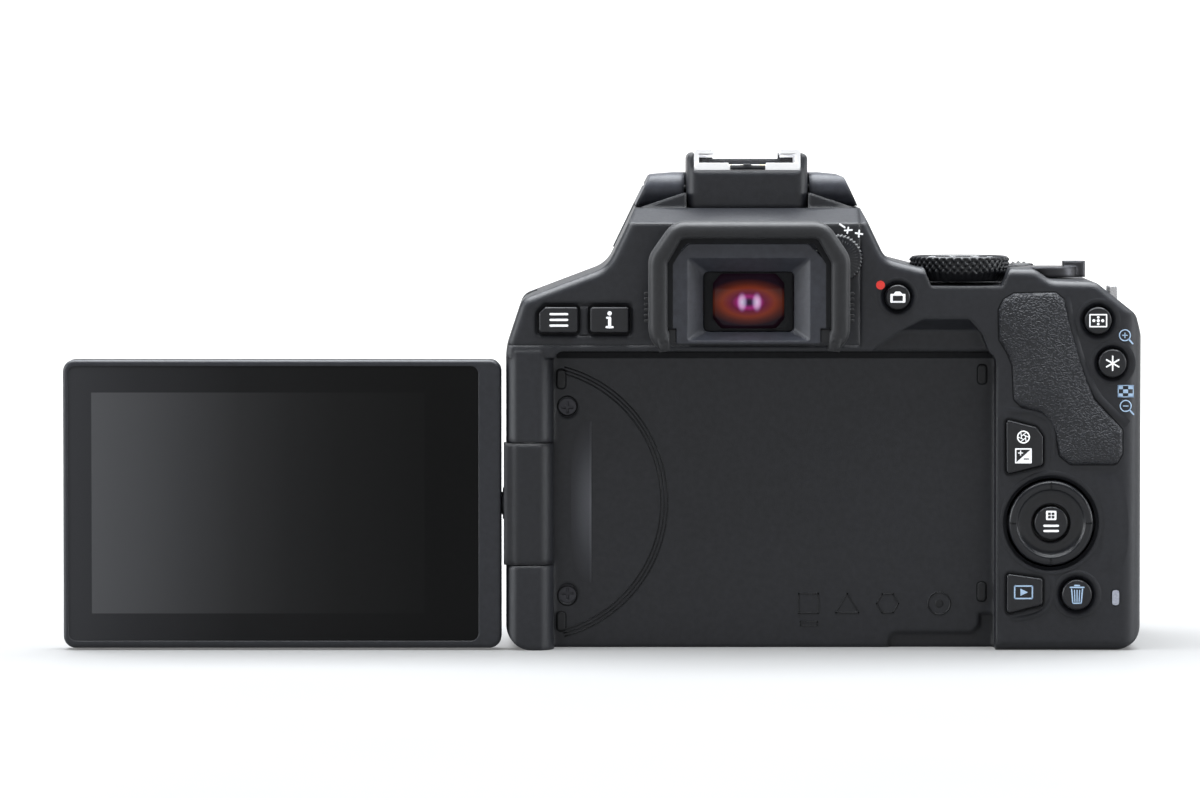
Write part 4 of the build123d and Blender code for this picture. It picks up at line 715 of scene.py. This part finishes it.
# ---- printed marks ---------------------------------------------------------------------------
def left_key_marks():
    """Three bars on the menu key and an info mark on its neighbour."""
    bars = [stroke((-1.6, z), (1.6, z), 0.42) for z in (-1.1, 0.0, 1.1)]
    icon("menu_bars", bars, KEY_FACE, white_ink_painted_glow, "menu_button", at=MENU_KEY)
    info = [circle(0, 1.25, 0.42, 20), stroke((0, 0.35), (0, -1.35), 0.6)]
    info += [stroke((-0.6, -1.4), (0.6, -1.4), 0.4), stroke((-0.5, 0.4), (0, 0.4), 0.4)]
    icon("info_mark", info, KEY_FACE, white_ink_painted_glow, "info_button", at=INFO_KEY)


def live_view_marks():
    """A plain camera outline, and the red dot beside its key."""
    hump = [(0.75, 0.75), (0.45, 1.2), (-0.45, 1.2), (-0.75, 0.75)]
    shell = rounded([(-1.45, -0.95), (1.45, -0.95), (1.45, 0.75)] + hump + [(-1.45, 0.75)], 0.2, 3)
    icon("live_view_mark", [shell], KEY_FACE, white_ink_painted_glow, "live_view_button", at=LIVE_VIEW_KEY)
    window = [box(-0.95, -0.6, 0.95, 0.4, 0.1, 2)]
    icon("live_view_window", window, KEY_FACE - 0.05, button_black, "live_view_button", at=LIVE_VIEW_KEY)
    icon("record_dot", [circle(25.4, 70.4, 0.85, 32)], REAR, red_ink, "camera_body", thick=0.12)


def focus_marks():
    """A frame with a cross of dots, and a six-armed star."""
    points = frame_strokes(1.6, 1.15, 0.25)
    points += [circle(x, 0, 0.3, 14) for x in (-0.85, 0, 0.85)]
    points += [circle(0, z, 0.26, 14) for z in (-0.65, 0.65)]
    icon("point_marks", points, KEY_FACE, white_ink_painted_glow, "af_point_button", at=POINT_KEY)
    tips = [math.radians(90 + 60 * k) for k in range(6)]
    star = [stroke((0, 0), (1.35 * math.cos(a), 1.35 * math.sin(a)), 0.29) for a in tips]
    icon("lock_star", star, KEY_FACE, white_ink_painted_glow, "ae_lock_button", at=LOCK_KEY)


def exposure_marks():
    """A box split into plus and minus, under an iris of six blades."""
    key = {"body": "exposure_button", "at": EXPOSURE_KEY}
    icon("split_box", [box(-1.6, -1.45, 1.6, 1.45, 0.1, 2)], KEY_FACE, white_ink_painted_glow, **key)
    icon("split_dark", [[(-1.35, -1.2), (1.35, 1.2), (-1.35, 1.2)]], KEY_FACE - 0.05, button_black, **key)
    plus = [stroke((-0.95, 0.55), (-0.15, 0.55), 0.2), stroke((-0.55, 0.15), (-0.55, 0.95), 0.2)]
    icon("split_plus", plus, KEY_FACE - 0.1, white_ink_painted_glow, **key)
    icon("split_minus", [stroke((0.15, -0.6), (1.0, -0.6), 0.22)], KEY_FACE - 0.05, button_black, **key)
    iris = (52.9, 41.2)
    annulus("aperture_ring", iris, (1.0, 1.25), KEY_FACE, white_ink_painted_glow, "exposure_button", n=36)
    blades = []
    for k in range(6):
        a, b = k * math.pi / 3, (k + 1.6) * math.pi / 3
        blades.append(stroke((math.cos(a), math.sin(a)), (0.45 * math.cos(b), 0.45 * math.sin(b)), 0.16))
    icon("aperture_blades", blades, KEY_FACE, white_ink_painted_glow, "exposure_button", at=iris)


def lower_key_marks():
    """A framed triangle for playback and a bin for erase."""
    play = frame_strokes(1.7, 1.2, 0.26) + [[(-0.6, -0.7), (0.85, 0.0), (-0.6, 0.7)]]
    icon("play_mark", play, KEY_FACE, blue_ink_painted_glow, "playback_button", at=PLAYBACK_KEY)
    lid = [stroke((-1.3, 1.35), (1.3, 1.35), 0.28), stroke((-0.45, 1.7), (0.45, 1.7), 0.28)]
    sides = [stroke((1.05 * s, 1.0), (0.8 * s, -1.7), 0.24) for s in (-1, 1)]
    foot = [stroke((-0.8, -1.7), (0.8, -1.7), 0.24)]
    ribs = [stroke((a, 0.8), (b, -1.4), 0.2) for a, b in ((0, 0), (-0.5, -0.4), (0.5, 0.4))]
    icon("bin_mark", lid + sides + foot + ribs, KEY_FACE, blue_ink_painted_glow, "erase_button", at=ERASE_KEY)


def magnifier(name, x, z, plus):
    loops = [stroke((0.75, -0.6), (1.5, -1.45), 0.3), stroke((-0.45, 0.15), (0.45, 0.15), 0.2)]
    if plus:
        loops.append(stroke((0.0, -0.3), (0.0, 0.6), 0.2))
    icon(name, loops, REAR, blue_ink_painted_glow, "camera_body", at=(x, z))
    annulus(name + "_ring", (x, z + 0.15), (0.95, 1.15), REAR, blue_ink_painted_glow, "camera_body", n=32)


def index_mark():
    """A chequered frame."""
    grid = []
    for i, j in ((0, 0), (0, 2), (1, 1), (2, 0), (2, 2)):
        x, z = -1.5 + 1.0 * i, -1.15 + 0.77 * j
        grid.append(box(x, z, x + 0.95, z + 0.72, 0.04, 1))
    grid += [stroke((-1.5, z), (1.5, z), 0.16) for z in (-1.1, 1.1)]
    grid += [stroke((x, -1.1), (x, 1.1), 0.16) for x in (-1.45, 1.45)]
    icon("index_mark", grid, REAR, blue_ink_painted_glow, "camera_body", at=(72.6, 50.0))


def diopter_marks():
    """A minus and two crosses along the diopter wheel."""
    marks = [stroke((17.6, 82.1), (18.5, 81.5), 0.36), stroke((18.5, 80.9), (19.9, 81.0), 0.32)]
    marks += [stroke((19.2, 81.5), (19.0, 80.4), 0.32), stroke((20.6, 80.4), (21.9, 80.2), 0.34)]
    marks += [stroke((21.3, 80.9), (21.2, 79.7), 0.34)]
    icon("diopter_marks", marks, REAR, white_ink_painted_glow, "camera_body")


left_key_marks()
live_view_marks()
focus_marks()
exposure_marks()
lower_key_marks()
magnifier("zoom_in_mark", 72.4, 60.6, True)
magnifier("zoom_out_mark", 72.6, 47.0, False)
index_mark()
diopter_marks()


# ---- screen recess: bumpers, swing arcs, plain raised shapes, gaps, a painted shadow and the swell ---
def recess_pads():
    for k, (x, z) in enumerate([(-36.0, 52.0), (-36.0, 5.0), (45.4, 52.9), (45.4, 10.8)]):
        pad = box(x - 0.75, z - 1.75, x + 0.75, z + 1.75, 0.7, 5)
        socket = box(x - 1.05, z - 2.05, x + 1.05, z + 2.05, 1.0, 5)
        icon(f"bumper_socket_{k}", [socket], FLOOR, inner_black, "camera_body", thick=0.05)
        icon(f"bumper_{k}", [pad], FLOOR, eye_rubber, "camera_body", thick=0.3)


def swing_arcs():
    for k, r in enumerate((25.6, 26.25, 26.9)):
        arc = {"thick": 0.1, "n": 90, "span": (-75, 75)}
        annulus(f"swing_arc_{k}", (-42.4, 28.2), (r, r + 0.28), FLOOR, plate_black, "camera_body", **arc)


def recess_gaps_and_painted_shadow():
    for k, z in enumerate((46.8, 10.0)):
        ring = {"thick": 0.03, "n": 36}
        annulus(f"screw_gap_{k}", (-34.8, z), (1.75, 2.0), FLOOR, inner_black, "camera_body", **ring)
    # painted shadow: a black strip along the top of the recess, where its top wall throws shade
    painted_shadow_strip = [box(-36.9, 56.0, 47.4, 57.3, 0.3, 3)]
    icon("recess_painted_shadow", painted_shadow_strip, FLOOR, inner_black, "camera_body", thick=0.06)


def embossed_shapes():
    hexagon = circle(27.2, 8.5, 2.1, 6)
    dial = (37.2, 8.5)
    shapes = {
        "emboss_square": closed_stroke([(10.0, 6.6), (13.8, 6.6), (13.8, 10.4), (10.0, 10.4)], 0.3),
        "emboss_bar": closed_stroke([(10.3, 4.2), (13.6, 4.2), (13.6, 5.0), (10.3, 5.0)], 0.22),
        "emboss_triangle": closed_stroke([(17.2, 6.7), (21.6, 6.7), (19.4, 10.4)], 0.3),
        "emboss_hexagon": closed_stroke(hexagon, 0.3),
    }
    for name, loops in shapes.items():
        icon(name, loops, FLOOR, plate_black, "camera_body", thick=0.12)
    annulus("emboss_ring", dial, (2.0, 2.3), FLOOR, plate_black, "camera_body", thick=0.12)
    icon("emboss_dot", [circle(*dial, 0.8, 24)], FLOOR, plate_black, "camera_body", thick=0.12)


def hinge_swell():
    """The floor's shallow swell beside the hinge: it rises from the left and drops at a sharp edge, with a
    painted sheen that is lightest at that edge.
    """
    left, width, low, length, height = -35.2, 5.0, 12.4, 31.6, 0.4
    loops = []
    for k in range(25):
        z = low + length * k / 24
        fade = math.sin(math.pi * k / 24) ** 0.4
        row = [(left + width * i / 10, FLOOR + 0.02 - height * fade * (i / 10) ** 2, z) for i in range(11)]
        loops.append(row + [(left + width + 0.05, FLOOR + 0.05, z)])
    bm = bmesh.new()
    rings(bm, loops, close=False)
    m = Mat("swell_black", grey(0.03), 0.4, IOR=1.4)
    # painted sheen: the colour lightens towards the sharp edge on the right, standing in for a highlight
    painted_sheen = m.away(-30.2 * MM, 28.2 * MM, 0.29, 4.8 * MM)
    tones = ((0.0, 0.085, 0.08), (0.35, 0.06, 0.08), (0.7, 0.028, 0.12), (1.0, 0.0115, 0.16))
    m.to_color(m.ramp(painted_sheen, [(at, grey(v, cool)) for at, v, cool in tones]))
    m.to_rough(1400, 3, 0.36, 0.5)
    m.bump(m.noise(3200, 3, rough=0.65), 0.05)
    new_object("hinge_swell", bm, m.mat, "camera_body")


recess_pads()
swing_arcs()
embossed_shapes()
hinge_swell()
recess_gaps_and_painted_shadow()


# ---- dark parting lines round the keys and the thumb rest ------------------------------------
def grown(points, d):
    """A polygon's corners moved outwards by d."""
    count = len(points)
    area = sum(points[i - 1][0] * points[i][1] - points[i][0] * points[i - 1][1] for i in range(count))
    turn = 1.0 if area > 0 else -1.0
    out = []
    for i, p in enumerate(points):
        a, b, c = Vector(points[i - 1]), Vector(p), Vector(points[(i + 1) % count])
        u, v = (b - a).normalized(), (c - b).normalized()
        nu, nv = Vector((u.y, -u.x)) * turn, Vector((v.y, -v.x)) * turn
        q = b + (nu + nv) * d / max(0.3, (nu + nv).dot(nu))
        out.append((q.x, q.y))
    return out


def groove(name, points, y, inner=0.14, outer=0.42, radius=0.6):
    """A hair-thin dark band round an outline, between two offsets from it."""
    bm = bmesh.new()
    a = rounded(grown(points, inner), radius + inner, 5)
    b = rounded(grown(points, outer), radius + outer, 5)
    rings(bm, [[(x, y - d, z) for x, z in loop] for loop, d in ((a, 0.0), (a, 0.015), (b, 0.015), (b, 0.0))])
    new_object(name, bm, inner_black, "camera_body", smooth=False)


groove("menu_gap", [(-40.2, 61.3), (-40.2, 65.0), (-39.0, 66.2), (-32.7, 66.2), (-32.7, 61.3)], -22.5)
groove("info_gap", [(-30.4, 61.3), (-30.4, 66.2), (-22.9, 66.2), (-22.9, 61.3)], -22.5)
groove("exposure_gap", [(49.7, 34.0), (49.6, 44.6), (55.4, 43.1), (56.7, 41.2), (56.7, 35.8)], REAR)
groove("playback_gap", [(49.8, 7.1), (49.8, 14.9), (56.7, 13.9), (56.7, 8.9)], REAR)
groove("thumb_gap", THUMB, REAR, -0.1, 0.24, 1.0)


# ---- soft ridges moulded into the back -------------------------------------------------------
def smooth_path(points, steps=8):
    """Points along a smooth curve through the given ones."""
    fine = []
    for i in range(len(points) - 1):
        a, b = Vector(points[i]), Vector(points[i + 1])
        before = Vector(points[i - 1]) if i else a * 2 - b
        after = Vector(points[i + 2]) if i + 2 < len(points) else b * 2 - a
        for k in range(steps):
            t = k / steps
            bend = (2 * before - 5 * a + 4 * b - after) * t**2 + (3 * a - before - 3 * b + after) * t**3
            fine.append(0.5 * ((2 * a) + (b - before) * t + bend))
    return fine + [Vector(points[-1])]


def bulge(t):
    """The rounded cross-section of a ridge: 0 at t = -1 and 1, 1 in the middle."""
    return 0.5 + 0.5 * math.cos(math.pi * t)


ACROSS = [-1 + k / 4 for k in range(9)]


def bead(name, points, w, h):
    """A low rounded ridge along a path on the rear face, tapering to nothing at both ends."""
    fine = smooth_path(points)
    last = len(fine) - 1
    loops = []
    for i, q in enumerate(fine):
        d = (fine[min(i + 1, last)] - fine[max(i - 1, 0)]).normalized()
        out = Vector((-d.y, d.x))
        taper = math.sin(min(1.0, min(i, last - i) / (0.22 * len(fine))) * math.pi / 2)
        row = []
        for t in ACROSS:
            row.append((q.x + out.x * t * w / 2, REAR + 0.05 - h * taper * bulge(t), q.y + out.y * t * w / 2))
        loops.append(row)
    bm = bmesh.new()
    rings(bm, loops, close=False)
    new_object(name, bm, plastic, "camera_body")


def well_lip(name, x, z, r, w, h):
    """A raised, rounded lip round a button's well."""
    loops = []
    for t in ACROSS:
        y = REAR + 0.03 - h * bulge(t)
        loops.append([(u, y, v) for u, v in circle(x, z, r + t * w / 2, 96)])
    bm = bmesh.new()
    rings(bm, loops)
    new_object(name, bm, plastic, "camera_body")


exposure_path = [
    (48.6, 46.4), (52.0, 46.3), (55.2, 45.9), (57.4, 44.7), (58.6, 42.6), (58.7, 38.8), (58.3, 34.4),
]
playback_path = [(58.2, 15.2), (58.7, 12.6), (58.4, 9.8), (56.9, 7.6), (54.0, 6.4), (49.8, 5.8)]
plate_path = [
    (61.2, 68.9), (61.6, 66.0), (62.6, 61.2), (64.6, 54.6), (66.9, 49.6), (70.4, 45.8), (73.0, 43.6),
]
bead("exposure_ridge", exposure_path, 1.5, 0.42)
bead("playback_ridge", playback_path, 1.5, 0.38)
bead("recess_rim", [(48.25, 1.2), (48.25, 18.0), (48.25, 34.0), (48.25, 50.0)], 0.8, 0.22)
bead("thumb_swell", [(68.4, 34.5), (69.9, 30.0), (70.5, 24.6), (70.2, 19.4), (68.6, 14.6)], 5.4, 0.5)
bead("plate_ridge", plate_path, 1.7, 0.5)
well_lip("focus_point_lip", *POINT_KEY, 4.0, 1.0, 0.22)
well_lip("lock_lip", *LOCK_KEY, 4.0, 1.0, 0.2)
well_lip("erase_lip", 63.3, 10.8, 4.3, 1.1, 0.3)
well_lip("live_view_lip", 28.7, 68.1, 3.65, 0.7, 0.15)
well_lip("key_lip", *CROSS_KEY, 9.7, 1.0, 0.25)


# ---- eyepiece window: dark octagon mask and a lens with painted, glowing reflections ---------
def lens_with_painted_reflections():
    """A dark lens with a painted magenta and orange reflection of its coating, and two painted soft
    highlights either side of its middle, all made to glow.
    """
    m = Mat("lens_with_painted_reflections", (0.004, 0.002, 0.005), 0.06, IOR=1.2)
    middle = 67.2 * MM
    painted_coating_reflection = [
        (0.0, (0.008, 0.005, 0.012)), (0.1, (0.03, 0.008, 0.035)), (0.24, (0.26, 0.012, 0.13)),
        (0.38, (0.1, 0.006, 0.025)), (0.6, (0.15, 0.022, 0.004)), (0.8, (0.05, 0.009, 0.002)),
        (1.0, (0.003, 0.001, 0.001)),
    ]
    highlight = [
        (0.0, (0.46, 0.46, 0.58)), (0.4, (0.28, 0.25, 0.36)), (0.7, (0.05, 0.02, 0.07)),
        (0.85, (0.0, 0.0, 0.0)),
    ]
    # painted reflection: the coating's magenta and orange and the two highlights added below are painted in
    # and emitted as glow
    total = m.ramp(m.away(0.0, middle, 1.85, 8.4 * MM), painted_coating_reflection)
    for x in (-1.25 * MM, 1.6 * MM):
        add = m.node("ShaderNodeMix", Factor=1.0)
        add.data_type = "RGBA"
        add.blend_type = "ADD"
        m.link(total, add.inputs["A"])
        m.link(m.ramp(m.away(x, middle, 0.55, 1.35 * MM), highlight), add.inputs["B"])
        total = add.outputs["Result"]
    m.link(total, m.bsdf.inputs["Emission Color"])
    m.bsdf.inputs["Emission Strength"].default_value = 1.0
    m.to_color(m.ramp(m.noise(300, 2), [(0.3, (0.008, 0.004, 0.01)), (0.7, (0.012, 0.006, 0.014))]))
    m.to_rough(400, 2, 0.05, 0.09)
    return m.mat


def eyepiece_window():
    """The domed lens and the mask in front of it."""
    loops = []
    for k in range(9):
        s = max(k / 8, 1e-5)
        y = -24.4 - 1.3 * (1 - s * s)
        loops.append([(9.0 * s * x, y, 67.35 + 6.9 * s * z) for x, z in circle(0, 0, 1)])
    bm = bmesh.new()
    rings(bm, loops)
    obj = new_object("finder_lens", bm, lens_with_painted_reflections(), "camera_body")
    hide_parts("eyepiece_lens")
    outer = rounded([(-8.6, 61.55), (-8.6, 73.05), (8.6, 73.05), (8.6, 61.55)], 0.9, 11)
    left_half = [(-5.3, 62.1), (-6.9, 64.0), (-6.9, 70.9), (-5.3, 72.75)]
    hole = rounded(left_half + [(-x, z) for x, z in reversed(left_half)], 0.9, 5)
    back = [(x * 0.99, -25.2, 67.4 + (z - 67.4) * 0.99) for x, z in hole]
    bm = bmesh.new()
    rings(bm, [[(x, EYE_SEAT, z) for x, z in outer], [(x, -26.0, z) for x, z in hole], back])
    new_object("finder_mask", bm, inner_black, "camera_body")


eyepiece_window()


# ---- accessory shoe: contacts, the stop and the springs under the rails ----------------------
def shoe_details():
    shoe_floor, back = 93.0, -12.1
    pins = ((0.0, -3.0, 1.25), (-3.4, 1.5, 0.75), (3.4, 1.5, 0.75), (-2.4, -7.2, 0.75), (2.4, -7.2, 0.75))
    bm = bmesh.new()
    for x, y, r in pins:
        raise_loop(bm, circle(x, y, r, 24), shoe_floor, shoe_floor + 0.24)
    new_object("shoe_contact_pins", bm, gold, "camera_body")
    bm = bmesh.new()
    extrude_loop(bm, box(-3.3, 92.4, 3.5, 93.3, 0.1, 2), back, -10.4)
    extrude_loop(bm, rounded([(-0.9, 93.2), (0.9, 93.2), (0.6, 93.6), (-0.6, 93.6)], 0.1, 2), back, -10.4)
    new_object("shoe_stop", bm, plastic_top, "camera_body", smooth=False)
    for side, letter in ((-1, "l"), (1, "r")):
        bm = bmesh.new()
        x0, x1 = sorted((side * 6.5, side * 9.3))
        loops = []
        for y, z in ((-11.4, 95.2), (-8.0, 94.75), (-4.0, 94.75), (-1.0, 95.2), (4.0, 95.3)):
            loops.append([(x0, y, z), (x1, y, z), (x1, y, z + 0.18), (x0, y, z + 0.18)])
        rings(bm, loops, caps=(True, True))
        extrude_loop(bm, box(side * 3.6, 92.35, side * 9.9, 93.75, 0.15, 2), back - 0.05, -11.92)
        new_object("shoe_spring_" + letter, bm, rail_steel, "camera_body", smooth=False)


shoe_details()


# ---- floor, light and viewpoint --------------------------------------------------------------
def make_stage():
    """A wide disc with a low rim, glowing more with its distance so that it goes over into white."""
    bm = bmesh.new()
    profile = ((5, 0), (5000, 0), (5500, 60), (5800, 300), (5900, 700), (5900, 1400))
    rings(bm, [[(x, y, z) for x, y in circle(0, 0, r, 96)] for r, z in profile], caps=(True, False))
    mesh = bpy.data.meshes.new("studio_floor")
    bmesh.ops.recalc_face_normals(bm, faces=bm.faces)
    bm.to_mesh(mesh)
    bm.free()
    mesh.transform(Matrix.Scale(MM, 4))
    floor = bpy.data.objects.new("studio_floor", mesh)
    bpy.context.scene.collection.objects.link(floor)
    m = Mat("floor_white", (0.17, 0.17, 0.17), 0.6, Emission_Strength=1.1)
    out = m.node("ShaderNodeVectorMath", "LENGTH")
    m.link(m.obj((1, 1, 0)), out.inputs[0])
    tones = [(at, (v, v, v)) for at, v in ((0.0, 0.13), (0.35, 0.45), (0.9, 1))]
    m.link(m.ramp(m.remap(out.outputs["Value"], 0.35, 2.4), tones), m.bsdf.inputs["Emission Color"])
    m.to_rough(20, 2, 0.55, 0.65)
    mesh.materials.append(m.mat)


make_stage()


def area(name, at, look, size, power, color=(0.94, 0.97, 1.0)):
    data = bpy.data.lights.new(name, "AREA")
    data.shape = "RECTANGLE"
    data.size, data.size_y = size
    data.energy = power
    data.color = color
    obj = bpy.data.objects.new(name, data)
    obj.location = at
    obj.rotation_euler = (Vector(look) - Vector(at)).to_track_quat("-Z", "Y").to_euler()
    obj.visible_camera = False
    bpy.context.scene.collection.objects.link(obj)


area("key_top", (0.0, 0.12, 1.0), (0.0, 0.1, 0.0), (1.4, 1.1), 66)
area("left_strip", (-1.1, -0.2, 0.35), (-0.04, 0, 0.04), (0.2, 0.9), 12)
area("right_strip", (1.15, -0.15, 0.4), (0.05, 0, 0.04), (0.2, 0.9), 9)
area("back_floor", (0, 0.8, 1.0), (0, 1.7, 0.2), (2.5, 1.2), 110, (1, 1, 1))
world = bpy.data.worlds.new("studio")
bpy.context.scene.world = world
world.use_nodes = True
world.node_tree.nodes["Background"].inputs["Color"].default_value = (0.93, 0.96, 1, 1)
world.node_tree.nodes["Background"].inputs["Strength"].default_value = 0.17

bpy.context.scene.view_settings.view_transform = "Standard"
SENSOR_WIDTH = 36.0
VIEW_WIDTH = 0.23077
cam_data = bpy.data.cameras.new("camera")
cam_data.sensor_width = SENSOR_WIDTH
eye = Vector((-0.0285, -1.323, 0.110))
aim = Vector((-0.0285, -0.023, 0.0483))
cam_data.lens = SENSOR_WIDTH * (aim - eye).length / VIEW_WIDTH
cam_data.clip_end = 50
camera = bpy.data.objects.new("camera", cam_data)
camera.location = eye
camera.rotation_euler = (aim - eye).to_track_quat("-Z", "Y").to_euler()
bpy.context.scene.collection.objects.link(camera)
bpy.context.scene.camera = camera
